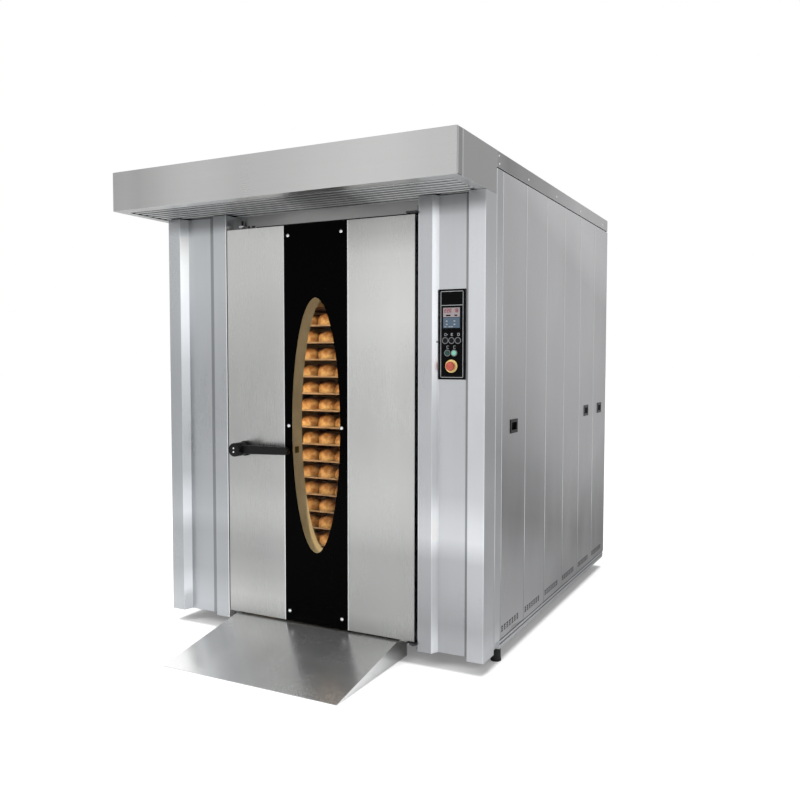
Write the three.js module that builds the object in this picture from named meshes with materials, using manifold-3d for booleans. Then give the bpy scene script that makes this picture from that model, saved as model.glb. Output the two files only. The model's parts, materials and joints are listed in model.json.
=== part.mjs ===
// Rotating rack oven. Millimetres, +Z up, floor at z = 0, front rib plane at y = 0, body centred on x = 0.
import * as THREE from "three";
import { mergeVertices } from "three/addons/utils/BufferGeometryUtils.js";
import Module from "manifold-3d";

const wasm = await Module();
wasm.setup();

// ---- driving dimensions -------------------------------------------------------------------------
const sheet = 3;                  // folded stainless sheet
const fit = 0.3;                  // gap between pieces that touch
const run = 0.4;                  // radial clearance of turning and sliding pieces

const bodyWidth = 1800;
const bodyDepth = 2240;
const bodyHeight = 2345;
const footHeight = 66;            // floor to the underside of the chassis
const panelBottom = 111;          // lower edge of the side panels
const roofSkirt = 72;             // folded edge of the roof panel
const roofShadowGap = 5;          // dark line under the roof skirt
const moduleDepth = 130;          // depth of the front columns
const postDepth = 80;             // visible front post behind each column
const panelCount = 6;
const panelGap = 2;
const panelDepth = 21.7;          // folded depth of a side panel
const railSize = 50;              // chassis tube
const footRadius = 22;
const footSetback = 33;           // foot centre from the post or the side rail

const canopyHeight = 192;
const canopyOverhang = 315;
const canopyLeftOverhang = 72;
const canopyFaceDepth = 58;       // front fascia of the canopy
const canopyFaceInset = 2;
const canopyFlange = 45;
const filterThickness = 20;
const filterRibs = 8;
const filterRibHeight = 11;

const leftColumnWidth = 375;
const rightColumnWidth = 331;
const doorBottom = 110;
const doorHeader = 82;            // door's top edge to the canopy
const doorThickness = 86;
const doorFaceY = 4;
const doorSideGap = 12.5;
const pivotInset = 16.5;          // hinge axis from the door's right edge
const pivotSetback = 20;          // hinge axis behind the door's face
const gasketWidth = 14;
const gasketInset = 12.5;
const gasketHeight = 11.4;
const openingLap = 42.5;          // door past each side of the opening
const openingHeadLap = 25;        // door past the top of the opening
const sillTop = 104;              // chamber floor level

const ribDepth = 48;              // depth of the flat recess in each column
const ribSlope = 16;              // width of the sloping side of the recess
const innerRibSetback = 12;
const leftInnerRib = 84;
const leftOuterRib = 78;
const rightInnerRib = 71;
const rightOuterRib = 81;
const columnBottom = 65;

const rampSideMargin = 64;        // ramp narrower than the door, each side
const rampShift = -21.5;          // ramp's centre from the door's
const rampLength = 542;
const rampTop = 100;
const rampPlate = 4;

const stripWidth = 361;
const stripThickness = 5;
const windowHalfWidth = 142;
const windowEndMargin = 348;    // window to the door's top and bottom edges
const revealWall = 5;
const paneThickness = 6;
const innerPaneMargin = 28;

const handleInset = 112.5;        // handle axis from the door's left edge
const handleZ = 963;
const hubRadius = 34;
const hubLength = 86;
const roseRadius = 38;
const roseLength = 17.7;
const spindleRadius = 9;
const armLength = 305;
const armHeight = 45;
const armTipHeight = 40;
const armThickness = 28;
const armSetback = 28;            // free end of the hub to the arm's front face

const jacketClearance = 8;        // insulation to the chassis
const chamberFrontGap = 15;       // front columns to the chamber's swept square
const ceilingRise = 12;           // chamber ceiling above the door's top edge
const sideDuct = 117;
const rearPlenum = 182;
const airSlotWidth = 320;
const airSlotHeight = 22;
const insulation = 100;
const rearInsulation = 120;
const topInsulation = 90;

const rackShareX = 425 / 575;     // rack's half sizes against the chamber's
const rackShareY = 325 / 575;
const rackPost = 30;
const rackBottom = 215;
const rackHeadroom = 108;         // rack to the chamber ceiling
const shelfCount = 18;
const shelfFirst = 303;
const shelfHeadroom = 16;
const shelfLip = 24;
const wheelRadius = 48;
const wheelWidth = 30;
const axleRadius = 6;
const forkPlate = 4;
const wheelInset = 35;
const turntableEdgeGap = 55;      // turntable to the air panels
const turntablePad = 90;          // radius of the turntable's bottom disc
const turntableThickness = 6;
const turntableLift = 2;
const guideHeight = 10;

const shaftRadius = 20;
const shaftHeadroom = 35;         // shaft's top to the top of the roof
const sprocketDrop = 57;          // sprockets below the top of the roof
const yokeHalfLength = 180;
const yokeHalfWidth = 30;
const yokeThickness = 14;
const collarRadius = 45;
const collarHeight = 40;
const bearingHeight = 44;
const bearingRadius = 42;
const bearingFlange = 62;
const bearingFlangeHeight = 12;
const sprocketThickness = 12;
const rackTeeth = 24;
const motorTeeth = 8;
const toothPitchRadius = 4;       // tip radius per tooth
const toothDepth = 9;
const chainWidth = 8;
const chainHeight = 8;
const chainFit = 0.6;             // tooth tips to the chain
const chainCentres = 300;
const outputRadius = 10;
const gearboxSize = 140;
const gearMotorLength = 210;
const gearMotorRadius = 50;

const fanRadius = 230;
const fanWidth = 100;
const fanBlades = 10;
const inletRadius = 190;
const fanShaftRadius = 12;
const fanMotorRadius = 110;
const fanMotorLength = 255;
const fanHubRadius = 36;
const fanBladeRoot = 110;
const fanWallGap = 35;            // air panel to the fan
const motorPlate = 400;
const terminalBoxSize = 110;

const hoodMotorRadius = 55;
const hoodMotorHeight = 55;       // motor's underside below the top of the canopy
const hoodShaftLength = 70;
const hoodFanRadius = 120;
const hoodFanHeight = 50;
const hoodHubRadius = 32;
const hoodFanDrop = 8;

const heaterHalfWidth = 420;
const heaterRise = 76;            // fan's top to the heater
const heaterHeight = 460;
const heaterRods = 7;
const heaterRodRadius = 8;
const heaterRodMargin = 40;
const heaterPlate = 8;
const heaterDepth = 100;

const cascadeShelves = 6;
const cascadeWidth = 360;
const cascadeReach = 72;
const cascadeOffset = 180;        // chamber centre to the cascade
const cascadeBottom = 276;        // chamber floor to the cascade
const cascadeHeadroom = 283;
const cascadeSheet = 4;
const cascadeLip = 22;

const lampHalfHeight = 200;
const lampTubeRadius = 12;
const lampWidth = 52;
const lampDepth = 12;
const lampOffset = 14;            // door opening to the lamp

const ductShift = -372;           // flue from the chamber's centre, sideways
const ductSetback = 430;          // and towards the back
const ductRadius = 75;
const ductRise = 40;              // flue above the roof
const ductFlange = 20;
const damperDrop = 105;           // damper below the top of the roof
const damperRadius = 70;
const damperSpindle = 5;

const controlOffset = 68;         // sloping side of the recess to the panel's centre
const controlWidth = 128;
const controlBottom = 1326;
const controlTop = 1731;
const controlThickness = 7.7;
const displayWidth = 88;
const displayHeight = 97;
const displayTop = 1651;
const buttonRadius = 11;
const buttonProud = 7;
const buttonPitch = 31;
const buttonRowZ = 1501;
const lowerPitch = 33;
const lowerRowZ = 1445;
const lowerShift = -3.5;
const bezelWidth = 4.2;
const bezelHeight = 4;
const stopZ = 1386;
const stopCollar = 30;
const stopStem = 12.5;
const stopHead = 20;
const stopHeadDepth = 14;
const stopReach = 28;
const stemDepth = 22;             // length of a button's stem behind the panel face

const latchWidth = 100;
const latchHeight = 66;
const latchRim = 7;
const latchZ = 1099;
const latchProud = 2.7;
const latchDepth = 16;
const latchWall = 8;
const latchPanels = [0, 4, 5];

const ventColumns = 7;
const ventWidth = 20;
const ventHeight = 28;
const ventPitch = 36;
const ventBottom = 141;
const ventStart = 18;

// ---- values that follow -------------------------------------------------------------------------
const halfBody = bodyWidth / 2;
const canopyBottom = bodyHeight - canopyHeight;
const columnTop = canopyBottom - fit;
const roofBottom = bodyHeight - roofSkirt;
const panelTop = roofBottom - roofShadowGap;
const postEndY = moduleDepth + fit + postDepth;
const panelStartY = postEndY + panelGap;
const backSheet = 3.7;
const panelEndY = bodyDepth - backSheet - fit;
const panelPitch = (panelEndY - panelStartY) / panelCount;
const railOuter = halfBody - panelDepth;
const railInner = railOuter - railSize;

const frameLeft = leftColumnWidth - halfBody;
const frameRight = halfBody - rightColumnWidth;
const doorLeft = frameLeft + doorSideGap;
const doorRight = frameRight - doorSideGap;
const doorWidth = doorRight - doorLeft;
const doorCentreX = (doorLeft + doorRight) / 2;
const doorTop = canopyBottom - doorHeader;
const doorBackY = doorFaceY + doorThickness;
const pivotX = doorRight - pivotInset;
const pivotY = doorFaceY + pivotSetback;
const handleX = doorLeft + handleInset;
const windowCentreX = doorCentreX;
const windowCentreZ = (doorBottom + doorTop) / 2;
const windowHalfHeight = (doorTop - doorBottom) / 2 - windowEndMargin;
const rampWidth = doorWidth - 2 * rampSideMargin;
const rampCentreX = doorCentreX + rampShift;
const frameFaceY = doorBackY + gasketHeight + 2 * fit;
const frameBackY = moduleDepth - 2;
const openingLeft = doorLeft + openingLap;
const openingRight = doorRight - openingLap;
const openingTop = doorTop - openingHeadLap;

const shellRight = railInner - jacketClearance - insulation - fit - sheet;
const chamberRight = shellRight - sheet - sideDuct;
const chamberHalf = chamberRight - doorCentreX;
const chamberLeft = doorCentreX - chamberHalf;
const chamberCentreY = moduleDepth + chamberFrontGap + chamberHalf;
const chamberBackY = chamberCentreY + chamberHalf;
const chamberCeiling = doorTop + ceilingRise;
const shellLeft = chamberLeft - sheet - sideDuct;
const shellFrontY = frameBackY + fit;
const shellBackY = chamberBackY + sheet + rearPlenum;
const shellBottom = sillTop - sheet;
const shellTop = chamberCeiling + sheet;
const jacketTop = shellTop + fit + topInsulation;
const jacketBackY = shellBackY + sheet + fit + rearInsulation;

const rackHalfX = rackShareX * chamberHalf;
const rackHalfY = rackShareY * chamberHalf;
const rackTop = chamberCeiling - rackHeadroom;
const shelfPitch = (rackTop - shelfHeadroom - shelfFirst) / shelfCount;
const turntableRadius = chamberHalf - turntableEdgeGap;
const turntableTop = sillTop + fit + turntableLift + turntableThickness;
const wheelZ = turntableTop + fit + wheelRadius;
const rackRadius = rackTeeth * toothPitchRadius;
const motorRadius = motorTeeth * toothPitchRadius;
const motorY = chamberCentreY + chainCentres;
const sprocketZ = bodyHeight - sprocketDrop;
const shaftTop = bodyHeight - shaftHeadroom;
const fanZ = (sillTop + chamberCeiling) / 2;
const ductX = doorCentreX + ductShift;
const ductY = chamberCentreY + ductSetback;
const ductTop = bodyHeight + ductRise;
const damperZ = bodyHeight - damperDrop;

const recessY = ribDepth;
const panelFaceY = recessY - fit - controlThickness;
const panelCentreX = frameRight + rightInnerRib + ribSlope + controlOffset;

// ---- helpers ------------------------------------------------------------------------------------
function toManifold(geometry) {
  const bare = geometry.clone();
  bare.deleteAttribute("normal");
  bare.deleteAttribute("uv");
  const merged = mergeVertices(bare, 1e-4);
  const vertProperties = merged.attributes.position.array.map((v) => Math.round(v * 1000) / 1000);
  const triVerts = new Uint32Array(merged.index.array);
  return new wasm.Manifold(new wasm.Mesh({ numProp: 3, vertProperties, triVerts }));
}

function toGeometry(solid) {
  const mesh = solid.asOriginal().simplify(0.01).getMesh();
  const geometry = new THREE.BufferGeometry();
  geometry.setAttribute("position", new THREE.BufferAttribute(mesh.vertProperties, 3));
  geometry.setIndex(new THREE.BufferAttribute(mesh.triVerts, 1));
  return geometry;
}

function join(first, ...rest) {
  return rest.reduce((sum, geometry) => sum.add(toManifold(geometry)), toManifold(first));
}

function cut(solid, ...tools) {
  return tools.reduce((left, geometry) => left.subtract(toManifold(geometry)), solid);
}

function joined(...geometries) {
  return toGeometry(join(...geometries));
}

function cutFrom(geometry, ...tools) {
  return toGeometry(cut(toManifold(geometry), ...tools));
}

function box(x0, x1, y0, y1, z0, z1) {
  const geometry = new THREE.BoxGeometry(x1 - x0, y1 - y0, z1 - z0);
  return geometry.translate((x0 + x1) / 2, (y0 + y1) / 2, (z0 + z1) / 2);
}

function mirroredBox(x0, x1, y0, y1, z0, z1) {
  return [box(x0, x1, y0, y1, z0, z1), box(-x1, -x0, y0, y1, z0, z1)];
}

// A cylinder along x, y or z from one end coordinate to the other, centred on (a, b) across it.
function rod(axis, a, b, from, to, radius, sides = 20) {
  const geometry = new THREE.CylinderGeometry(radius, radius, to - from, sides);
  const middle = (from + to) / 2;
  if (axis === "x") {
    return geometry.rotateZ(-Math.PI / 2).translate(middle, a, b);
  }
  if (axis === "y") {
    return geometry.translate(a, middle, b);
  }
  return geometry.rotateX(Math.PI / 2).translate(a, b, middle);
}

function extrude(shape, length) {
  return new THREE.ExtrudeGeometry(shape, { depth: length, bevelEnabled: false, curveSegments: 16 });
}

// An outline in x and y, pulled up in z.
function pullUp(points, z0, z1) {
  const shape = new THREE.Shape(points.map(([x, y]) => new THREE.Vector2(x, y)));
  return extrude(shape, z1 - z0).translate(0, 0, z0);
}

// An outline in y and z, pulled along x.
function pullAlongX(points, x0, x1) {
  const shape = new THREE.Shape(points.map(([y, z]) => new THREE.Vector2(y, z)));
  const turn = new THREE.Matrix4().set(0, 0, 1, 0, 1, 0, 0, 0, 0, 1, 0, 0, 0, 0, 0, 1);
  return extrude(shape, x1 - x0).applyMatrix4(turn).translate(x0, 0, 0);
}

// An outline in x and z, pulled along y.
function pullAlongY(points, y0, y1) {
  const shape = new THREE.Shape(points.map(([x, z]) => new THREE.Vector2(x, z)));
  return extrude(shape, y1 - y0).rotateX(Math.PI / 2).translate(0, y1, 0);
}

// An upright ellipse in x and z, as a disc from y0 to y1.
function ellipseDisc(halfWidth, halfHeight, y0, y1, sides = 48) {
  const geometry = new THREE.CylinderGeometry(1, 1, y1 - y0, sides);
  geometry.scale(halfWidth, 1, halfHeight);
  return geometry.translate(windowCentreX, (y0 + y1) / 2, windowCentreZ);
}

// The closed outline of a folded sheet whose face follows a path; the sheet lies to the path's left.
function foldedOutline(path, thickness) {
  const inner = path.map((point, i) => {
    const before = path[Math.max(i - 1, 0)];
    const after = path[Math.min(i + 1, path.length - 1)];
    const first = new THREE.Vector2(...(i > 0 ? point : after)).sub(new THREE.Vector2(...(i > 0 ? before : point)));
    const last = new THREE.Vector2(...(i < path.length - 1 ? after : point));
    last.sub(new THREE.Vector2(...(i < path.length - 1 ? point : before)));
    const a = first.normalize();
    const b = last.normalize();
    const scale = thickness / (1 + a.dot(b));
    return [point[0] - (a.y + b.y) * scale, point[1] + (a.x + b.x) * scale];
  });
  return [...path, ...inner.reverse()];
}

// A toothed wheel seen along z.
function sprocketShape(teeth, radius) {
  const points = [];
  const share = (2 * Math.PI) / teeth;
  for (let i = 0; i < teeth; i += 1) {
    for (const [turn, r] of [[-0.36, radius - toothDepth], [-0.12, radius], [0.12, radius], [0.36, radius - toothDepth]]) {
      const angle = (i + turn) * share;
      points.push([r * Math.cos(angle), r * Math.sin(angle)]);
    }
  }
  return points;
}

// The outline round two wheels, the first at the origin and the second up y.
function loopOutline(bigRadius, smallRadius, centres, steps = 24) {
  const lean = Math.asin((bigRadius - smallRadius) / centres);
  const points = [];
  for (let i = 0; i <= steps; i += 1) {
    const angle = lean + (i / steps) * (Math.PI - 2 * lean);
    points.push([smallRadius * Math.cos(angle), centres + smallRadius * Math.sin(angle)]);
  }
  for (let i = 0; i <= steps; i += 1) {
    const angle = Math.PI - lean + (i / steps) * (Math.PI + 2 * lean);
    points.push([bigRadius * Math.cos(angle), bigRadius * Math.sin(angle)]);
  }
  return points;
}

const oven = new THREE.Group();
const steel = { color: 0xb9bcbe, roughness: 0.34, metalness: 0.9 };
const darkSteel = { color: 0x8d9092, roughness: 0.4, metalness: 0.9 };
const blackPlastic = { color: 0x121314, roughness: 0.45, metalness: 0 };
const blackGlass = { color: 0x08090a, roughness: 0.08, metalness: 0 };
const clearGlass = { color: 0xdfe6e6, roughness: 0.05, metalness: 0, transparent: true, opacity: 0.35 };
const motorPaint = { color: 0x4b5a68, roughness: 0.5, metalness: 0.3 };
const castIron = { color: 0x55585a, roughness: 0.6, metalness: 0.7 };
const wool = { color: 0xc9b98a, roughness: 0.95, metalness: 0 };
const rubber = { color: 0x1b1b1c, roughness: 0.8, metalness: 0 };

function add(name, geometry, look) {
  const mesh = new THREE.Mesh(geometry, new THREE.MeshStandardMaterial(look));
  mesh.name = name;
  oven.add(mesh);
}

// ---- chassis ------------------------------------------------------------------------------------
function chassisFrame() {
  const seat = panelBottom - fit;
  const bandTop = panelBottom - 5;
  const bandOuter = halfBody - sheet;
  const railTop = shellBottom - fit;
  const feet = [
    [(railInner + halfBody) / 2 + 4, postEndY + footSetback],
    [railInner - footSetback, panelEndY - railSize / 2],
  ];
  const parts = [
    ...mirroredBox(railInner, railOuter + 12, postEndY, panelEndY - 1, footHeight, seat),
    ...mirroredBox(railInner, bandOuter, postEndY, panelEndY - 1, footHeight, bandTop),
    ...mirroredBox(railInner, railOuter, moduleDepth + fit, postEndY + 1, footHeight, panelTop),
    ...mirroredBox(railOuter - sheet, halfBody - 0.5, moduleDepth + fit, postEndY, panelBottom, panelTop),
    ...mirroredBox(railInner, railOuter, panelEndY - railSize, panelEndY, footHeight, panelTop),
    ...mirroredBox(railInner, railOuter, postEndY, panelEndY, panelTop - 40, panelTop),
  ];
  const crossRails = [
    [shellFrontY, footHeight, railTop],
    [shellBackY - railSize, footHeight, railTop],
    [panelEndY - railSize, footHeight, railTop],
    [panelEndY - railSize, panelTop - 40, panelTop],
  ];
  for (const [y, z0, z1] of crossRails) {
    parts.push(box(-railInner - 1, railInner + 1, y, y + railSize, z0, z1));
  }
  for (const [x, y] of feet) {
    for (const side of [-1, 1]) {
      parts.push(rod("z", side * x, y, 0, footHeight + 1, footRadius, 16));
    }
  }
  return joined(...parts);
}

function column(outerX, innerX, outerRib, innerRib) {
  const toward = Math.sign(innerX - outerX);
  const recessOuter = outerX + toward * outerRib;
  const recessInner = innerX - toward * innerRib;
  const path = [
    [innerX, frameBackY],
    [innerX, innerRibSetback],
    [recessInner, innerRibSetback],
    [recessInner - toward * ribSlope, recessY],
    [recessOuter + toward * ribSlope, recessY],
    [recessOuter, 0],
    [outerX, 0],
    [outerX, moduleDepth],
  ];
  const faced = toward < 0 ? path : path.reverse();
  return pullUp(foldedOutline(faced, sheet), columnBottom, columnTop);
}

function rightColumn() {
  const back = box(
    panelCentreX - controlWidth / 2 + 8, panelCentreX + controlWidth / 2 - 8,
    recessY - 5, recessY + sheet + 5,
    stopZ - stopCollar, buttonRowZ + buttonRadius + 20,
  );
  return cutFrom(column(halfBody, frameRight, rightOuterRib, rightInnerRib), back);
}

function doorFrame() {
  const plate = box(frameLeft + fit, frameRight - fit, frameFaceY, frameBackY, footHeight, columnTop);
  const opening = box(openingLeft, openingRight, frameFaceY - 5, frameBackY + 5, sillTop, openingTop);
  return cutFrom(plate, opening);
}

function ramp() {
  const backY = frameFaceY - fit;
  const outer = [[backY, 0], [backY, rampTop], [0, rampTop], [-rampLength, sheet], [-rampLength, 0]];
  const inner = [
    [backY - rampPlate, -1], [backY - rampPlate, rampTop - rampPlate], [0, rampTop - rampPlate],
    [-rampLength + 6 * rampPlate, -1],
  ];
  const left = rampCentreX - rampWidth / 2;
  const right = rampCentreX + rampWidth / 2;
  const stiffener = box(left + 1, right - 1, -rampPlate / 2, rampPlate / 2, 0, rampTop - 2);
  const shell = cut(toManifold(pullAlongX(outer, left, right)), pullAlongX(inner, left + rampPlate, right - rampPlate));
  return toGeometry(shell.add(toManifold(stiffener)));
}

add("chassis_frame", chassisFrame(), darkSteel);
add("left_front_column", column(-halfBody, frameLeft, leftOuterRib, leftInnerRib), steel);
add("right_front_column", rightColumn(), steel);
add("door_frame", doorFrame(), steel);
add("ramp", ramp(), steel);

// ---- canopy -------------------------------------------------------------------------------------
const canopyLeft = -halfBody - canopyLeftOverhang;
const canopyFront = -canopyOverhang;
const filterFront = canopyFront + canopyFaceDepth + 7;
const filterBack = moduleDepth - canopyFlange + 15;

function canopyShell() {
  const outer = box(canopyLeft, halfBody, canopyFront, moduleDepth, canopyBottom, bodyHeight);
  const hollow = box(
    canopyLeft + sheet, halfBody - sheet, canopyFront + sheet, moduleDepth - sheet,
    canopyBottom + sheet, bodyHeight - sheet,
  );
  const mouth = box(
    canopyLeft + canopyFlange, halfBody - canopyFlange, filterFront, filterBack,
    canopyBottom - 5, canopyBottom + sheet + 5,
  );
  const faceEnd = canopyFront + canopyFaceDepth;
  const inset = [
    box(halfBody - canopyFaceInset, halfBody + 5, canopyFront - 5, faceEnd, canopyBottom - 5, bodyHeight + 5),
    box(canopyLeft - 5, canopyLeft + canopyFaceInset, canopyFront - 5, faceEnd, canopyBottom - 5, bodyHeight + 5),
  ];
  return cutFrom(outer, hollow, mouth, ...inset);
}

function canopyFilter() {
  const bottom = canopyBottom + sheet + fit;
  const front = filterFront - 6;
  const back = filterBack + 6;
  const pitch = (back - front) / filterRibs;
  const points = [[front, bottom + filterThickness], [front, bottom]];
  for (let i = 0; i < filterRibs; i += 1) {
    const start = front + i * pitch;
    points.push([start + 0.3 * pitch, bottom]);
    points.push([start + 0.42 * pitch, bottom + filterRibHeight]);
    points.push([start + 0.78 * pitch, bottom + filterRibHeight]);
    points.push([start + 0.9 * pitch, bottom]);
  }
  points.push([back, bottom], [back, bottom + filterThickness]);
  return pullAlongX(points, canopyLeft + canopyFlange - 6, halfBody - canopyFlange + 6);
}

const hoodFanX = doorCentreX;
const hoodFanY = (canopyFront + moduleDepth) / 2;
const hoodShaft = 6;
const hoodMotorBottom = bodyHeight - hoodMotorHeight;

function canopyFanMotor() {
  const can = rod("z", hoodFanX, hoodFanY, hoodMotorBottom, bodyHeight - sheet - fit, hoodMotorRadius);
  const shaftBottom = hoodMotorBottom - hoodShaftLength;
  const shaft = rod("z", hoodFanX, hoodFanY, shaftBottom, hoodMotorBottom + 1, hoodShaft, 16);
  return joined(can, shaft);
}

function canopyFan() {
  const blades = 7;
  const top = hoodMotorBottom - hoodFanDrop;
  const bottom = top - hoodFanHeight;
  let fan = toManifold(rod("z", 0, 0, bottom, top, hoodHubRadius, 20));
  for (let i = 0; i < blades; i += 1) {
    const blade = box(hoodHubRadius - 10, hoodFanRadius, -2, 2, bottom + 5, top - 5);
    fan = fan.add(toManifold(blade.rotateZ((2 * Math.PI * i) / blades)));
  }
  const bore = rod("z", 0, 0, bottom - 5, top + 5, hoodShaft + run, 16);
  return toGeometry(cut(fan, bore)).translate(hoodFanX, hoodFanY, 0);
}

add("canopy_shell", canopyShell(), steel);
add("canopy_filter", canopyFilter(), darkSteel);
add("canopy_fan_motor", canopyFanMotor(), motorPaint);
add("canopy_fan", canopyFan(), darkSteel);

// ---- outer panels -------------------------------------------------------------------------------
function roofPanel() {
  const frontY = moduleDepth + fit;
  const outer = box(-halfBody, halfBody, frontY, bodyDepth, roofBottom, bodyHeight);
  const hollow = box(
    -halfBody + sheet, halfBody - sheet, frontY + sheet, bodyDepth - sheet, roofBottom - 5, bodyHeight - sheet,
  );
  const flue = rod("z", ductX, ductY, bodyHeight - 20, bodyHeight + 20, ductRadius + 1);
  return cutFrom(outer, hollow, flue);
}

function backPanel() {
  const frontY = bodyDepth - backSheet;
  const plate = box(-halfBody, halfBody, frontY, bodyDepth, panelBottom, panelTop);
  const slots = [];
  const slotCount = 9;
  for (let i = 0; i < slotCount; i += 1) {
    for (const x of [-halfBody / 2, halfBody / 2]) {
      const z = ventBottom + 60 + i * 26;
      slots.push(box(x - 150, x + 150, frontY - 5, bodyDepth + 5, z, z + 10));
    }
  }
  return cutFrom(plate, ...slots);
}

function ventCuts(y0) {
  const cuts = [];
  for (let i = 0; i < ventColumns; i += 1) {
    const y = y0 + ventStart + i * ventPitch;
    cuts.push(box(halfBody - panelDepth / 2, halfBody + 5, y, y + ventWidth, ventBottom, ventBottom + ventHeight));
  }
  return cuts;
}

// One right-hand panel: a folded pan, open towards the chassis.
function sidePan(index) {
  const y0 = panelStartY + index * panelPitch;
  const y1 = y0 + panelPitch - panelGap;
  const innerX = railOuter + fit;
  const pan = box(innerX, halfBody, y0, y1, panelBottom, panelTop);
  const hollow = box(
    innerX - 5, halfBody - sheet, y0 + sheet, y1 - sheet, panelBottom + sheet, panelTop - sheet,
  );
  return { pan, hollow, y0, y1 };
}

function rightSidePanel(index) {
  const { pan, hollow, y0, y1 } = sidePan(index);
  const cuts = [hollow, ...ventCuts(y0)];
  if (latchPanels.includes(index)) {
    const y = (y0 + y1) / 2;
    const halfY = latchWidth / 2 - latchRim + run;
    const halfZ = latchHeight / 2 - latchRim + run;
    cuts.push(box(halfBody - 5, halfBody + 5, y - halfY, y + halfY, latchZ - halfZ, latchZ + halfZ));
  }
  return cutFrom(pan, ...cuts);
}

// The left side: the same six pans, joined along their seams.
function leftSidePanels() {
  const seamDepth = 4;
  const innerX = railOuter + fit;
  const y1 = panelStartY + panelCount * panelPitch - panelGap;
  const wall = box(innerX, halfBody, panelStartY, y1, panelBottom, panelTop);
  const cuts = [];
  for (let i = 0; i < panelCount; i += 1) {
    const pan = sidePan(i);
    cuts.push(pan.hollow, ...ventCuts(pan.y0));
    if (i > 0) {
      cuts.push(box(halfBody - seamDepth, halfBody + 5, pan.y0 - panelGap, pan.y0, panelBottom - 5, panelTop + 5));
    }
  }
  return cutFrom(wall, ...cuts).rotateZ(Math.PI).translate(0, panelStartY + y1, 0);
}

function sideLatch(index) {
  const { y0, y1 } = sidePan(index);
  const y = (y0 + y1) / 2;
  const halfY = latchWidth / 2;
  const halfZ = latchHeight / 2;
  const coreY = halfY - latchRim;
  const coreZ = halfZ - latchRim;
  const rimX = halfBody + fit;
  const rim = box(rimX, rimX + latchProud, y - halfY, y + halfY, latchZ - halfZ, latchZ + halfZ);
  const core = box(halfBody - latchDepth, rimX + 1, y - coreY, y + coreY, latchZ - coreZ, latchZ + coreZ);
  const cup = box(
    halfBody - latchDepth + sheet, rimX + latchProud + 5,
    y - coreY + latchWall, y + coreY - latchWall, latchZ - coreZ + latchWall, latchZ + coreZ - latchWall,
  );
  return toGeometry(cut(join(rim, core), cup));
}

add("roof_panel", roofPanel(), steel);
add("back_panel", backPanel(), steel);
for (let i = 0; i < panelCount; i += 1) {
  add(`right_side_panel_${i + 1}`, rightSidePanel(i), steel);
}
add("left_side_panels", leftSidePanels(), steel);
latchPanels.forEach((panel, i) => add(`side_latch_${i + 1}`, sideLatch(panel), blackPlastic));

// ---- baking chamber -----------------------------------------------------------------------------
function chamberShell() {
  const outer = box(
    shellLeft - sheet, shellRight + sheet, shellFrontY, shellBackY + sheet, shellBottom, shellTop,
  );
  const hollow = box(shellLeft, shellRight, shellFrontY + sheet, shellBackY, sillTop, chamberCeiling);
  const mouth = box(openingLeft, openingRight, shellFrontY - 5, shellFrontY + sheet + 5, sillTop, openingTop);
  const shaftHole = rod("z", doorCentreX, chamberCentreY, chamberCeiling - 5, shellTop + 5, shaftRadius + 3);
  const flueHole = rod("z", ductX, ductY, chamberCeiling - 5, shellTop + 5, ductRadius - 4);
  const fanHole = rod("y", doorCentreX, fanZ, shellBackY - 5, shellBackY + sheet + 5, fanShaftRadius + 3);
  return cutFrom(outer, hollow, mouth, shaftHole, flueHole, fanHole);
}

function insulationJacket() {
  const outer = box(
    shellLeft - sheet - fit - insulation, shellRight + sheet + fit + insulation,
    moduleDepth + 4, jacketBackY, shellBottom, jacketTop,
  );
  const hollow = box(
    shellLeft - sheet - fit, shellRight + sheet + fit,
    moduleDepth - 5, shellBackY + sheet + fit, shellBottom - 5, shellTop + fit,
  );
  const shaftHole = rod("z", doorCentreX, chamberCentreY, shellTop - 5, jacketTop + 5, bearingFlange + 4);
  const flueHole = rod("z", ductX, ductY, shellTop - 5, jacketTop + 5, ductRadius + ductFlange + 4);
  const fanHole = rod("y", doorCentreX, fanZ, shellBackY, jacketBackY + 5, fanShaftRadius + 8);
  return cutFrom(outer, hollow, shaftHole, flueHole, fanHole);
}

function airDuctPanel() {
  const frontY = shellFrontY + sheet + fit;
  const bottom = sillTop + fit;
  const top = chamberCeiling - fit;
  const wall = box(chamberLeft - sheet, chamberRight + sheet, frontY, chamberBackY + sheet, bottom, top);
  const inside = box(chamberLeft, chamberRight, frontY - 5, chamberBackY, bottom - 5, top + 5);
  const inlet = rod("y", doorCentreX, fanZ, chamberBackY - 5, chamberBackY + sheet + 5, inletRadius, 32);
  const slots = [];
  const slotRows = 10;
  const slotPitch = (top - bottom) / (slotRows + 1);
  const y0 = chamberCentreY - airSlotWidth / 2;
  const y1 = chamberCentreY + airSlotWidth / 2;
  for (let i = 1; i <= slotRows; i += 1) {
    const z = bottom + i * slotPitch;
    slots.push(box(chamberLeft - sheet - 5, chamberLeft + 5, y0, y1, z, z + airSlotHeight));
    slots.push(box(chamberRight - 5, chamberRight + sheet + 5, y0, y1, z, z + airSlotHeight));
  }
  return cutFrom(wall, inside, inlet, ...slots);
}

function heaterBank() {
  const left = doorCentreX - heaterHalfWidth;
  const right = doorCentreX + heaterHalfWidth;
  const bottom = fanZ + fanRadius + heaterRise;
  const top = bottom + heaterHeight;
  const plateY = shellBackY - fit;
  const rodY = plateY - heaterDepth / 2;
  const pitch = (heaterHeight - 2 * heaterRodMargin) / (heaterRods - 1);
  const parts = [
    box(left, left + heaterPlate, plateY - heaterDepth, plateY, bottom, top),
    box(right - heaterPlate, right, plateY - heaterDepth, plateY, bottom, top),
  ];
  for (let i = 0; i < heaterRods; i += 1) {
    const z = bottom + heaterRodMargin + i * pitch;
    parts.push(rod("x", rodY, z, left + heaterPlate / 2, right - heaterPlate / 2, heaterRodRadius, 8));
  }
  return joined(...parts);
}

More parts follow.
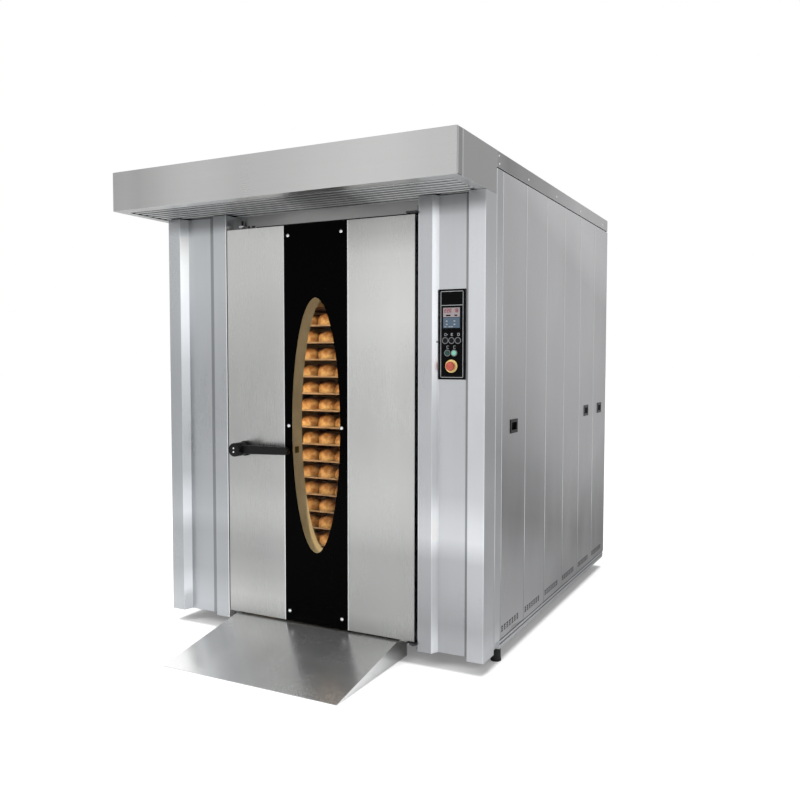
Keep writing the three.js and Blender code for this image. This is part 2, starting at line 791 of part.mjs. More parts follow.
function steamCascade() {
  const wallX = shellRight - fit;
  const edgeX = wallX - cascadeReach;
  const y0 = chamberCentreY + cascadeOffset;
  const y1 = y0 + cascadeWidth;
  const bottom = sillTop + cascadeBottom;
  const top = chamberCeiling - cascadeHeadroom;
  const pitch = (top - bottom) / cascadeShelves;
  const parts = [box(wallX - cascadeSheet, wallX, y0, y1, bottom, top)];
  for (let i = 0; i < cascadeShelves; i += 1) {
    const z = bottom + (i + 0.2) * pitch;
    parts.push(box(edgeX, wallX - cascadeSheet / 2, y0, y1, z, z + cascadeSheet));
    parts.push(box(edgeX, edgeX + cascadeSheet, y0, y1, z + cascadeSheet / 2, z + cascadeSheet + cascadeLip));
  }
  return joined(...parts);
}

function chamberLamp() {
  const backY = shellFrontY + sheet + fit;
  const right = openingLeft - lampOffset;
  const left = right - lampWidth;
  const bottom = windowCentreZ - lampHalfHeight;
  const top = windowCentreZ + lampHalfHeight;
  const housing = box(left, right, backY, backY + lampDepth, bottom, top);
  const tubeY = backY + lampDepth + lampTubeRadius - 2;
  const margin = lampTubeRadius;
  const tube = rod("z", (left + right) / 2, tubeY, bottom + margin, top - margin, lampTubeRadius, 16);
  return joined(housing, tube);
}

add("chamber_shell", chamberShell(), darkSteel);
add("insulation_jacket", insulationJacket(), wool);
add("air_duct_panel", airDuctPanel(), darkSteel);
add("heater_bank", heaterBank(), castIron);
add("steam_cascade", steamCascade(), castIron);
add("chamber_lamp", chamberLamp(), { color: 0xffe2a8, roughness: 0.3, metalness: 0 });

// ---- air circulation ----------------------------------------------------------------------------
const fanFrontY = chamberBackY + sheet + fanWallGap;

function circulationFan() {
  const backY = fanFrontY + fanWidth;
  let fan = toManifold(rod("y", 0, 0, backY - 5, backY, fanRadius, 36));
  fan = fan.add(toManifold(rod("y", 0, 0, fanFrontY, backY, fanHubRadius, 20)));
  for (let i = 0; i < fanBlades; i += 1) {
    const blade = box(fanBladeRoot, fanRadius - 4, fanFrontY, backY - 2, -2.5, 2.5);
    fan = fan.add(toManifold(blade.rotateY((2 * Math.PI * i) / fanBlades)));
  }
  const bore = rod("y", 0, 0, fanFrontY - 5, backY + 5, fanShaftRadius + run, 20);
  return toGeometry(cut(fan, bore)).translate(doorCentreX, 0, fanZ);
}

function circulationMotor() {
  const plateY = jacketBackY + fit;
  const half = motorPlate / 2;
  const plate = box(doorCentreX - half, doorCentreX + half, plateY, plateY + 6, fanZ - half, fanZ + half);
  const can = rod("y", doorCentreX, fanZ, plateY + 5, plateY + fanMotorLength, fanMotorRadius, 28);
  const shaft = rod("y", doorCentreX, fanZ, fanFrontY, plateY + 1, fanShaftRadius, 20);
  const boxHalf = terminalBoxSize / 2;
  const boxY = plateY + fanMotorLength / 2;
  const boxTop = fanZ + fanMotorRadius + boxHalf;
  const terminalBox = box(
    doorCentreX - boxHalf, doorCentreX + boxHalf, boxY - boxHalf, boxY + boxHalf, boxTop - terminalBoxSize / 2 - 10, boxTop,
  );
  return joined(plate, can, shaft, terminalBox);
}

add("circulation_fan", circulationFan(), darkSteel);
add("circulation_motor", circulationMotor(), motorPaint);

// ---- steam outlet -------------------------------------------------------------------------------
function exhaustDuct() {
  const base = shellTop + fit;
  const pipe = rod("z", ductX, ductY, base, ductTop, ductRadius, 24);
  const flange = rod("z", ductX, ductY, base, base + 4, ductRadius + ductFlange, 24);
  const inside = rod("z", ductX, ductY, base - 5, ductTop + 5, ductRadius - sheet, 24);
  const reach = ductRadius + 40;
  const spindleHole = rod("x", ductY, damperZ, ductX - reach, ductX + reach, damperSpindle + run, 16);
  return toGeometry(cut(join(pipe, flange), inside, spindleHole));
}

function damperFlap() {
  const disc = rod("z", ductX, ductY, damperZ - 1.5, damperZ + 1.5, damperRadius, 24);
  const spindle = rod("x", ductY, damperZ, ductX - ductRadius - 12, ductX + ductRadius + 30, damperSpindle, 16);
  return joined(disc, spindle);
}

add("exhaust_duct", exhaustDuct(), darkSteel);
add("damper_flap", damperFlap(), darkSteel);

// ---- rack drive ---------------------------------------------------------------------------------
function rackShaft() {
  const shaft = rod("z", 0, 0, rackTop + fit, shaftTop, shaftRadius, 24);
  const base = rackTop + fit;
  const yoke = box(-yokeHalfLength, yokeHalfLength, -yokeHalfWidth, yokeHalfWidth, base, base + yokeThickness);
  const collar = rod("z", 0, 0, base, base + collarHeight, collarRadius, 20);
  const wheel = pullUp(sprocketShape(rackTeeth, rackRadius), sprocketZ, sprocketZ + sprocketThickness);
  return joined(shaft, yoke, collar, wheel).translate(doorCentreX, chamberCentreY, 0);
}

function rackBearing() {
  const base = shellTop + fit;
  const top = base + bearingHeight;
  const body = rod("z", doorCentreX, chamberCentreY, base, top, bearingRadius, 24);
  const flange = rod("z", doorCentreX, chamberCentreY, base, base + bearingFlangeHeight, bearingFlange, 24);
  const bore = rod("z", doorCentreX, chamberCentreY, base - 5, top + 5, shaftRadius + run, 24);
  return toGeometry(cut(join(body, flange), bore));
}

function gearmotor() {
  const half = gearboxSize / 2;
  const base = jacketTop + fit;
  const top = sprocketZ - 4;
  const box1 = box(doorCentreX - half, doorCentreX + half, motorY - half, motorY + half, base, top);
  const can = rod("x", motorY, (base + top) / 2, doorCentreX + half - 1, doorCentreX + half + gearMotorLength, gearMotorRadius, 20);
  const output = rod("z", doorCentreX, motorY, top - 1, shaftTop - 5, outputRadius, 16);
  return joined(box1, can, output);
}

function motorSprocket() {
  const wheel = pullUp(sprocketShape(motorTeeth, motorRadius), sprocketZ, sprocketZ + sprocketThickness);
  const bore = rod("z", 0, 0, sprocketZ - 5, sprocketZ + sprocketThickness + 5, outputRadius + run, 16);
  return cutFrom(wheel, bore).translate(doorCentreX, motorY, 0);
}

function driveChain() {
  const z0 = sprocketZ + (sprocketThickness - chainHeight) / 2;
  const outer = loopOutline(rackRadius + chainFit + chainWidth, motorRadius + chainFit + chainWidth, chainCentres);
  const inner = loopOutline(rackRadius + chainFit, motorRadius + chainFit, chainCentres);
  const loop = cutFrom(pullUp(outer, z0, z0 + chainHeight), pullUp(inner, z0 - 5, z0 + chainHeight + 5));
  return loop.translate(doorCentreX, chamberCentreY, 0);
}

add("rack_shaft", rackShaft(), castIron);
add("rack_bearing", rackBearing(), castIron);
add("gearmotor", gearmotor(), motorPaint);
add("motor_sprocket", motorSprocket(), castIron);
add("drive_chain", driveChain(), castIron);

// ---- turntable and rack trolley -----------------------------------------------------------------
const wheelX = rackHalfX - wheelInset;
const wheelY = rackHalfY - wheelInset;

function turntable() {
  const base = sillTop + fit;
  const top = turntableTop;
  const parts = [
    rod("z", 0, 0, top - turntableThickness, top, turntableRadius, 40),
    rod("z", 0, 0, base, top - 1, turntablePad, 24),
  ];
  for (const side of [-1, 1]) {
    for (const edge of [-1, 1]) {
      const x = side * wheelX + edge * (wheelWidth / 2 + forkPlate + 10);
      parts.push(box(x - 2, x + 2, -wheelY, wheelY, top - 1, top + guideHeight));
    }
  }
  return joined(...parts).translate(doorCentreX, chamberCentreY, 0);
}

function wheelFork(x, y) {
  const half = wheelWidth / 2 + 3;
  const outer = half + forkPlate;
  return [
    box(x - outer, x + outer, y - 26, y + 26, rackBottom - 6, rackBottom + 1),
    box(x - outer, x - half, y - 16, y + 16, wheelZ - 12, rackBottom + 1),
    box(x + half, x + outer, y - 16, y + 16, wheelZ - 12, rackBottom + 1),
    rod("x", y, wheelZ, x - outer + 1, x + outer - 1, axleRadius, 16),
  ];
}

function rackTrolley() {
  const parts = [];
  const innerX = rackHalfX - rackPost;
  const innerY = rackHalfY - rackPost;
  for (const sx of [-1, 1]) {
    for (const sy of [-1, 1]) {
      const x = sx * (rackHalfX - rackPost / 2);
      const y = sy * (rackHalfY - rackPost / 2);
      const h = rackPost / 2;
      parts.push(box(x - h, x + h, y - h, y + h, rackBottom, rackTop));
      parts.push(...wheelFork(sx * wheelX, sy * wheelY));
    }
  }
  for (const z of [rackBottom, rackTop - rackPost]) {
    for (const sy of [-1, 1]) {
      const y = sy * (rackHalfY - rackPost / 2);
      parts.push(box(-innerX - 1, innerX + 1, y - rackPost / 2, y + rackPost / 2, z, z + rackPost));
    }
    parts.push(...mirroredBox(innerX, rackHalfX, -innerY - 1, innerY + 1, z, z + rackPost));
  }
  parts.push(box(-innerX - 1, innerX + 1, -rackPost / 2, rackPost / 2, rackTop - rackPost, rackTop));
  for (let i = 0; i < shelfCount; i += 1) {
    const z = shelfFirst + i * shelfPitch;
    parts.push(...mirroredBox(innerX - shelfLip, innerX + 4, -innerY - 1, innerY + 1, z - sheet, z));
  }
  return joined(...parts).translate(doorCentreX, chamberCentreY, 0);
}

function trolleyWheel(sx, sy) {
  const half = wheelWidth / 2;
  const r = wheelRadius;
  const bore = axleRadius + run;
  const profile = [[bore, -half], [r, -half], [r, half], [bore, half], [bore, -half]];
  const wheel = new THREE.LatheGeometry(profile.map(([a, b]) => new THREE.Vector2(a, b)), 20);
  wheel.rotateZ(-Math.PI / 2);
  return wheel.translate(doorCentreX + sx * wheelX, chamberCentreY + sy * wheelY, wheelZ);
}

add("turntable", turntable(), darkSteel);
add("rack_trolley", rackTrolley(), steel);
[[-1, -1], [1, -1], [-1, 1], [1, 1]].forEach(([sx, sy], i) => {
  add(`trolley_wheel_${i + 1}`, trolleyWheel(sx, sy), rubber);
});

// ---- door ---------------------------------------------------------------------------------------
const pinRadius = 8;
const panDepth = 56;              // front pan of the door
const linerInset = 12.5;

function doorShell() {
  const panBack = doorFaceY + panDepth;
  const outer = box(doorLeft, doorRight, doorFaceY, panBack, doorBottom, doorTop);
  const hollow = box(
    doorLeft + sheet, doorRight - sheet, doorFaceY + sheet, panBack + 5, doorBottom + sheet, doorTop - sheet,
  );
  const blockDepth = 24;
  const blocks = [doorBottom + 1, doorTop - blockDepth - 1].map((z) => box(
    pivotX - 16, doorRight - 1, doorFaceY + 1, pivotY + 16, z, z + blockDepth,
  ));
  const pinHole = rod("z", pivotX, pivotY, doorBottom - 5, doorBottom + blockDepth - 3, pinRadius + run, 20);
  const topHole = rod("z", pivotX, pivotY, doorTop - blockDepth + 3, doorTop + 5, pinRadius + run, 20);
  const view = ellipseDisc(windowHalfWidth + revealWall + 2, windowHalfHeight + revealWall + 2, -20, doorFaceY + 20);
  const spindle = rod("y", handleX, handleZ, -20, doorFaceY + 20, spindleRadius + run, 16);
  const pan = toManifold(outer).subtract(toManifold(hollow));
  const blocked = blocks.reduce((sum, block) => sum.add(toManifold(block)), pan);
  return toGeometry(cut(blocked, view, pinHole, topHole, spindle));
}

function doorInnerLiner() {
  const front = doorFaceY + panDepth + fit;
  const left = doorLeft + linerInset;
  const right = doorRight - linerInset;
  const bottom = doorBottom + linerInset;
  const top = doorTop - linerInset;
  const outer = box(left, right, front, doorBackY, bottom, top);
  const hollow = box(left + sheet, right - sheet, front - 5, doorBackY - sheet, bottom + sheet, top - sheet);
  const tube = ellipseDisc(
    windowHalfWidth + revealWall, windowHalfHeight + revealWall, doorFaceY + sheet + fit, doorBackY,
  );
  const view = ellipseDisc(windowHalfWidth, windowHalfHeight, -20, doorBackY + 20);
  const pan = toManifold(outer).subtract(toManifold(hollow)).add(toManifold(tube));
  return toGeometry(cut(pan, view));
}

function doorGlassStrip() {
  const back = doorFaceY - fit;
  const left = doorCentreX - stripWidth / 2;
  const plate = box(left, left + stripWidth, back - stripThickness, back, doorBottom, doorTop);
  return cutFrom(plate, ellipseDisc(windowHalfWidth, windowHalfHeight, -30, 30));
}

function doorWindowGlass() {
  const reach = revealWall + 2 - run;
  return ellipseDisc(windowHalfWidth + reach, windowHalfHeight + reach, doorFaceY, doorFaceY + sheet);
}

function doorInnerGlass() {
  const y = doorBackY + fit;
  const halfX = windowHalfWidth + innerPaneMargin;
  const halfZ = windowHalfHeight + innerPaneMargin;
  return box(
    windowCentreX - halfX, windowCentreX + halfX, y, y + paneThickness, windowCentreZ - halfZ, windowCentreZ + halfZ,
  );
}

function doorGasket() {
  const left = doorLeft + gasketInset;
  const right = doorRight - gasketInset;
  const bottom = doorBottom + gasketInset;
  const top = doorTop - gasketInset;
  const y0 = doorBackY + fit;
  const y1 = y0 + gasketHeight;
  const ring = box(left, right, y0, y1, bottom, top);
  const inside = box(
    left + gasketWidth, right - gasketWidth, y0 - 5, y1 + 5, bottom + gasketWidth, top - gasketWidth,
  );
  return cutFrom(ring, inside);
}

function doorHinge(upper) {
  const plate = 8;
  const collar = 5.7;
  const pin = 20;
  const edge = upper ? doorTop : doorBottom;
  const out = upper ? 1 : -1;
  const near = edge + out * fit;
  const far = near + out * collar;
  const end = far + out * plate;
  const span = (a, b) => [Math.min(a, b), Math.max(a, b)];
  const wall = frameRight - fit;
  const leafEnd = end + out * 26;
  const plateBox = box(pivotX - 25, wall, -6, pivotY + 40, ...span(far, end));
  const leaf = box(wall - 6, wall, innerRibSetback + 6, pivotY + 70, ...span(far, leafEnd));
  const collarRod = rod("z", pivotX, pivotY, ...span(near, far + out), 15, 20);
  const pinRod = rod("z", pivotX, pivotY, ...span(edge - out * pin, far), pinRadius, 20);
  return joined(plateBox, leaf, collarRod, pinRod);
}

function handleRose() {
  const back = doorFaceY - fit;
  const disc = rod("y", handleX, handleZ, back - roseLength, back, roseRadius, 28);
  return cutFrom(disc, rod("y", handleX, handleZ, -60, 30, spindleRadius + run, 16));
}

function handleLever() {
  const hubBack = doorFaceY - 2 * fit - roseLength;
  const hubFront = hubBack - hubLength;
  const armFront = hubFront + armSetback;
  const hub = rod("y", handleX, handleZ, hubFront, hubBack, hubRadius, 28);
  const spindle = rod("y", handleX, handleZ, hubBack - 1, doorFaceY + 45, spindleRadius, 16);
  const arm = new THREE.Shape();
  const tip = armTipHeight / 2;
  arm.moveTo(0, -armHeight / 2);
  arm.lineTo(armLength - tip, -tip);
  arm.absarc(armLength - tip, 0, tip, -Math.PI / 2, Math.PI / 2, false);
  arm.lineTo(0, armHeight / 2);
  arm.closePath();
  const bar = new THREE.ExtrudeGeometry(arm, { depth: armThickness, bevelEnabled: false, curveSegments: 10 });
  bar.rotateX(Math.PI / 2).translate(handleX, armFront + armThickness, handleZ);
  return joined(hub, spindle, bar);
}

add("door_shell", doorShell(), steel);
add("door_inner_liner", doorInnerLiner(), darkSteel);
add("door_glass_strip", doorGlassStrip(), blackGlass);
add("door_window_glass", doorWindowGlass(), clearGlass);
add("door_inner_glass", doorInnerGlass(), clearGlass);
add("door_gasket", doorGasket(), rubber);
add("door_hinge_lower", doorHinge(false), darkSteel);
add("door_hinge_upper", doorHinge(true), darkSteel);
add("handle_rose", handleRose(), blackPlastic);
add("handle_lever", handleLever(), blackPlastic);

// ---- controls -----------------------------------------------------------------------------------
const upperButtons = [-1, 0, 1].map((i) => panelCentreX + i * buttonPitch);
const lowerButtons = [-0.5, 0.5].map((i) => panelCentreX + lowerShift + i * lowerPitch);

function buttonPlaces() {
  return [
    ...upperButtons.map((x) => [x, buttonRowZ]),
    ...lowerButtons.map((x) => [x, lowerRowZ]),
  ];
}

function controlPanel() {
  const back = recessY - fit;
  const half = controlWidth / 2;
  const plate = box(panelCentreX - half, panelCentreX + half, panelFaceY, back, controlBottom, controlTop);
  const rings = buttonPlaces().map(([x, z]) => rod(
    "y", x, z, panelFaceY - bezelHeight, panelFaceY + 1, buttonRadius + bezelWidth, 20,
  ));
  const collar = rod("y", panelCentreX, stopZ, panelFaceY - bezelHeight, panelFaceY + 1, stopCollar, 28);
  const bores = buttonPlaces().map(([x, z]) => rod(
    "y", x, z, panelFaceY - bezelHeight - 5, back + 5, buttonRadius + run, 20,
  ));
  const stopBore = rod("y", panelCentreX, stopZ, panelFaceY - bezelHeight - 5, back + 5, stopStem + run, 20);
  return toGeometry(cut(join(plate, ...rings, collar), ...bores, stopBore));
}

function controlDisplay() {
  const half = displayWidth / 2;
  const back = panelFaceY - fit;
  return box(panelCentreX - half, panelCentreX + half, back - 3.4, back, displayTop - displayHeight, displayTop);
}

function pushButton(x, z) {
  return rod("y", x, z, panelFaceY - buttonProud, panelFaceY + stemDepth, buttonRadius, 20);
}

function emergencyStop() {
  const front = panelFaceY - stopReach;
  const head = rod("y", panelCentreX, stopZ, front, front + stopHeadDepth, stopHead, 24);
  const stem = rod("y", panelCentreX, stopZ, front + 1, panelFaceY + stemDepth, stopStem, 20);
  return joined(head, stem);
}

add("control_panel", controlPanel(), blackPlastic);
add("control_display", controlDisplay(), { color: 0x6c7f96, roughness: 0.3, metalness: 0 });
upperButtons.forEach((x, i) => add(`program_button_${i + 1}`, pushButton(x, buttonRowZ), blackPlastic));
add("lamp_button", pushButton(lowerButtons[0], lowerRowZ), { color: 0x1d4a33, roughness: 0.4, metalness: 0 });
add("start_button", pushButton(lowerButtons[1], lowerRowZ), { color: 0x2fbf7a, roughness: 0.4, metalness: 0 });
add("emergency_stop_button", emergencyStop(), { color: 0xc41e1a, roughness: 0.4, metalness: 0 });

export default oven;
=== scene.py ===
"""Looks of the rotating rack oven: materials, trays and bread, small fittings, light and camera.

Lengths are metres in the frame's axes: x to the right, y to the back and z up from the floor."""

import json
import math
import random

import bmesh
import bpy
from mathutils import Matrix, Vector


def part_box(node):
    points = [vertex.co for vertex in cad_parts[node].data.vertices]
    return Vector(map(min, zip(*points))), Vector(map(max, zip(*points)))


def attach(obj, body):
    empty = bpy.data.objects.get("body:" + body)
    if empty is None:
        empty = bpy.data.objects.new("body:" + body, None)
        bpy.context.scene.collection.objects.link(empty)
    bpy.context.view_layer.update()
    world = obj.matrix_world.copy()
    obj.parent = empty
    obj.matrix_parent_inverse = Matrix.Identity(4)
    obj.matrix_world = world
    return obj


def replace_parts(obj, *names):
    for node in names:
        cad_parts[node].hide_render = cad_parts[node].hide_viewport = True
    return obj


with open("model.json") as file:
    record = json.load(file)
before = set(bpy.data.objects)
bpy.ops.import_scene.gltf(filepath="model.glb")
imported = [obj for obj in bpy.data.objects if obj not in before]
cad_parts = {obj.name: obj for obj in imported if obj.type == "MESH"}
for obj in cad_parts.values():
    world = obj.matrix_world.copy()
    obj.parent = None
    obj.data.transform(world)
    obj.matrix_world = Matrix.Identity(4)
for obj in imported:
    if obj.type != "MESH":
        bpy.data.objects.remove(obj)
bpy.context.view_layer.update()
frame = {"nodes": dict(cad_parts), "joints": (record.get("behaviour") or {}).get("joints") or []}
nodes = frame["nodes"]
scene = bpy.context.scene

# ---- places taken from the frame ----
X, Y, Z = 0, 1, 2


def joint_place(name):
    """A point on a joint's axis."""
    return next(joint["pos_m"] for joint in frame["joints"] if joint["name"] == name)


BODY_SIDE, BODY_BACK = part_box("back_panel")[1][:2]
(DOOR_LEFT, _, DOOR_FOOT), (DOOR_RIGHT, _, DOOR_TOP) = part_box("door_shell")
(STRIP_LEFT, STRIP_FACE, _), (STRIP_RIGHT, _, _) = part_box("door_glass_strip")
(PLATE_LEFT, COLLAR_FACE, PLATE_FOOT), (PLATE_RIGHT, _, PLATE_TOP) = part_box("control_panel")
(DISPLAY_LEFT, DISPLAY_FACE, DISPLAY_FOOT), (DISPLAY_RIGHT, _, DISPLAY_TOP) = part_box("control_display")
HEADER_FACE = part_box("door_frame")[0][1]
RACK_X, RACK_Y, _ = joint_place("rack_turn")
LEVER_X, _, LEVER_Z = joint_place("handle_turn")
HINGE_X, HINGE_Y, _ = joint_place("door_swing")
WINDOW_X, WINDOW_Z = (DOOR_LEFT + DOOR_RIGHT) / 2, (DOOR_FOOT + DOOR_TOP) / 2
# The side panels' spacing and the vents in them, as in the part's source.
PANELS, PANEL_START, PANEL_PITCH = 6, 0.2123, 0.33728
VENTS, VENT_START, VENT_PITCH, VENT_WIDTH, VENT_HEIGHT, VENT_FOOT = 7, 0.018, 0.036, 0.02, 0.028, 0.141


# ---- node helpers ----
# A face begins to look along an axis at the first cosine and does so fully at the second.
FACING = (0.94, 0.98)


class Net:
    """A material's node tree with a Principled shader at its end."""

    def __init__(self, name):
        self.material = bpy.data.materials.new(name)
        self.material.use_nodes = True
        self.tree = self.material.node_tree
        self.tree.nodes.clear()
        self.out = self.add("OutputMaterial")
        self.shader = self.add("BsdfPrincipled")
        self.link(self.shader, 0, self.out, 0)
        self.coords = self.add("TexCoord")

    def add(self, kind, inputs=None, **props):
        made = self.tree.nodes.new("ShaderNode" + kind)
        for key, value in props.items():
            setattr(made, key, value)
        for key, value in (inputs or {}).items():
            made.inputs[key].default_value = value
        return made

    def link(self, a, out, b, into):
        self.tree.links.new(a.outputs[out], b.inputs[into])

    def noise(self, scale, size=1.0, detail=3.0, rough=0.5):
        """Noise over the object's own coordinates, stretched by scale on each axis."""
        place = self.add("Mapping", {"Scale": scale})
        self.link(self.coords, "Object", place, 0)
        noise = self.add("TexNoise", {"Scale": size, "Detail": detail, "Roughness": rough})
        self.link(place, 0, noise, "Vector")
        return noise

    def span(self, source, out, low, high, from_low=0.3, from_high=0.7, smooth=False):
        """source mapped from its own range to low..high."""
        node = self.add(
            "MapRange",
            {"From Min": from_low, "From Max": from_high, "To Min": low, "To Max": high},
            interpolation_type="SMOOTHSTEP" if smooth else "LINEAR",
        )
        self.link(source, out, node, 0)
        return node

    def math(self, operation, a, b):
        node = self.add("Math", operation=operation)
        for i, value in enumerate((a, b)):
            if isinstance(value, (int, float)):
                node.inputs[i].default_value = value
            else:
                self.link(value, 0, node, i)
        return node

    def tint(self, colour, factor):
        """colour times a grey factor node."""
        node = self.add("VectorMath", {0: colour}, operation="SCALE")
        self.link(factor, 0, node, "Scale")
        return node

    def split(self, source, out):
        """The x, y and z of a vector, as the outputs 0, 1 and 2 of a node."""
        parts = self.add("SeparateXYZ")
        self.link(source, out, parts, 0)
        return parts

    def dot(self, space, direction):
        """How far a place in the space lies along a direction, as the output called Value."""
        node = self.add("VectorMath", operation="DOT_PRODUCT")
        self.link(self.coords, space, node, 0)
        node.inputs[1].default_value = direction
        return node

    def profile(self, along, stops):
        """Tone along an axis or a direction of the object's space, from (metres, tone) pairs."""
        direction = along if isinstance(along, tuple) else tuple(float(i == along) for i in (X, Y, Z))
        first, last = stops[0][0], stops[-1][0]
        place = self.span(self.dot("Object", direction), "Value", 0.0, 1.0, first, last)
        brightest = 2.0  # a colour stop ends at 1, so each tone is stored as a share of this
        ramp = self.add("ValToRGB")
        elements = ramp.color_ramp.elements
        elements.remove(elements[1])
        for i, (at, tone) in enumerate(stops):
            position = (at - first) / (last - first)
            stop = elements[0] if i == 0 else elements.new(position)
            stop.position = position
            share = tone / brightest
            stop.color = (share, share, share, 1)
        self.link(place, 0, ramp, 0)
        return self.math("MULTIPLY", ramp, brightest)

    def facing(self, axis, tone):
        """1 on most faces and tone on those that look along the axis, either way."""
        parts = self.split(self.add("NewGeometry"), "True Normal")
        size = self.add("Math", operation="ABSOLUTE")
        self.link(parts, axis, size, 0)
        return self.span(size, 0, 1.0, tone, *FACING)

    def blend(self, mask, a, b):
        """a where mask is 0 and b where it is 1; a or b may be plain numbers."""
        node = self.add("Mix")
        self.link(mask, 0, node, "Factor")
        for socket, value in (("A", a), ("B", b)):
            if isinstance(value, (int, float)):
                node.inputs[socket].default_value = value
            else:
                self.link(value, 0, node, socket)
        return node

    def bump(self, source, strength, distance, below=None):
        node = self.add("Bump", {"Strength": strength, "Distance": distance})
        self.link(source, 0, node, "Height")
        if below:
            self.link(below, 0, node, "Normal")
        return node


# How much finer the noise is along each axis, for a grain that runs along z, x or y.
GRAIN = {"z": (1.0, 1.0, 0.02), "x": (0.02, 1.0, 1.0), "y": (1.0, 0.02, 1.0)}
FINE_LINES, WIDE_LINES = 900, 70
CLOUDS, SMEARS = (1.3, 1.3, 0.8), (5.0, 5.0, 1.6)
FINE_SHARE, SMEAR_SHARE = 0.8, 0.35
WAVE_DEPTH, GRAIN_STRENGTH, GRAIN_DEPTH = 0.02, 0.012, 0.0003
SEAM_BLUR = 0.001


def steel(name, colour, rough=0.3, grain="z", streak=0.008, cloud=0.05, wave=0.3, tones=(), ends=None,
          metal=1.0, strip=None, turned=None, divided=None):
    """Brushed stainless sheet: fine grain, wider streaks, soft clouds and a slightly wavy face.

    tones holds (axis, stops) pairs of painted light and shade for Net.profile, and ends an (axis, tone)
    pair for Net.facing, which paints faces that look along the axis lighter or darker. strip gives a fold a
    painted highlight: where it lies, the way its grain leans the reflection, and its painted tone up the
    height. turned replaces the first of tones on faces that look along x, and divided, which is (x, tone),
    does so to the right of x."""
    net = Net(name)
    line = GRAIN[grain]
    fine = net.noise(tuple(FINE_LINES * v for v in line), detail=2)
    wide = net.noise(tuple(WIDE_LINES * v for v in line), detail=3)
    soft = net.noise(CLOUDS, detail=2)
    smear = net.noise(SMEARS, detail=4)
    tone = net.span(wide, 0, 1 - streak, 1 + streak)
    for source, swing in ((fine, streak * FINE_SHARE), (soft, cloud), (smear, cloud * SMEAR_SHARE)):
        tone = net.math("MULTIPLY", tone, net.span(source, 0, 1 - swing, 1 + swing))
    for i, (axis, stops) in enumerate(tones):
        part = net.profile(axis, stops)
        if turned and i == 0:
            part = net.blend(net.facing(X, 0.0), net.profile(*turned), part)
        if divided and i == 0:
            seam, other = divided
            beyond = net.profile(X, ((seam - SEAM_BLUR, 0.0), (seam + SEAM_BLUR, 1.0)))
            part = net.blend(beyond, part, net.profile(*other))
        tone = net.math("MULTIPLY", tone, part)
    if ends:
        tone = net.math("MULTIPLY", tone, net.facing(*ends))
    waves = net.bump(soft, wave, WAVE_DEPTH)
    normal = net.bump(fine, GRAIN_STRENGTH, GRAIN_DEPTH, waves)
    # On the strip, a painted highlight tone up the fold, and a normal leant towards the bright room.
    if strip:
        where, lean, height = strip
        mask = net.profile(*where)
        tone = net.math("MULTIPLY", tone, net.blend(mask, 1.0, net.profile(*height)))
        leaning = net.add("VectorMath", operation="ADD")
        net.link(normal, 0, leaning, 0)
        net.link(net.tint(lean, mask), 0, leaning, 1)
        normal = net.add("VectorMath", operation="NORMALIZE")
        net.link(leaning, 0, normal, 0)
    net.link(net.tint(colour, tone), 0, net.shader, "Base Color")
    sheen = net.math("ADD", net.span(smear, 0, -0.05, 0.06), net.span(fine, 0, rough - 0.02, rough + 0.02))
    net.link(sheen, 0, net.shader, "Roughness")
    net.shader.inputs["Metallic"].default_value = metal
    net.link(normal, 0, net.shader, "Normal")
    return net.material


GRIT_FINENESS = 14  # against the blotches


def varied(name, colour, rough, metal=0.0, size=60.0, amount=0.12, bump=0.1, depth=0.0006, specular=0.5):
    """Plastic, rubber, paint or casting with a mottled tone, an uneven sheen and a fine grain."""
    net = Net(name)
    blotch = net.noise((size,) * 3, detail=4)
    grit = net.noise((size * GRIT_FINENESS,) * 3, detail=2)
    broad = net.span(blotch, 0, 1 - amount, 1 + amount)
    tone = net.math("MULTIPLY", broad, net.span(grit, 0, 1 - amount / 2, 1 + amount / 2))
    net.link(net.tint(colour, tone), 0, net.shader, "Base Color")
    net.link(net.span(blotch, 0, rough - 0.07, rough + 0.07), 0, net.shader, "Roughness")
    net.shader.inputs["Metallic"].default_value = metal
    net.shader.inputs["Specular IOR Level"].default_value = specular
    net.link(net.bump(grit, bump, depth), 0, net.shader, "Normal")
    return net.material


def glow(name, colour, strength, size=400.0):
    """A lit face with a slightly uneven light."""
    net = Net(name)
    noise = net.noise((size,) * 3)
    for socket in ("Base Color", "Emission Color"):
        net.link(net.tint(colour, net.span(noise, 0, 0.85, 1.1)), 0, net.shader, socket)
    net.shader.inputs["Emission Strength"].default_value = strength
    net.shader.inputs["Roughness"].default_value = 0.4
    return net.material


def pane(name, tint):
    """Thin clear glass: light goes straight through, with a faint reflection and faint streaks."""
    net = Net(name)
    streaks = net.noise((6.0, 6.0, 1.5), detail=3)
    clear = net.add("BsdfTransparent")
    net.link(net.tint(tint, net.span(streaks, 0, 0.95, 1.0)), 0, clear, 0)
    shine = net.add("BsdfGlossy", {"Roughness": 0.03})
    fresnel = net.add("Fresnel", {"IOR": 1.1})
    mix = net.add("MixShader")
    net.link(fresnel, 0, mix, 0)
    net.link(clear, 0, mix, 1)
    net.link(shine, 0, mix, 2)
    net.link(mix, 0, net.out, 0)
    return net.material


CRUST_COLOURS = (  # from the palest to the darkest
    (0.0, (0.76, 0.555, 0.275, 1)),
    (0.5, (0.42, 0.215, 0.082, 1)),
    (1.0, (0.11, 0.03, 0.009, 1)),
)


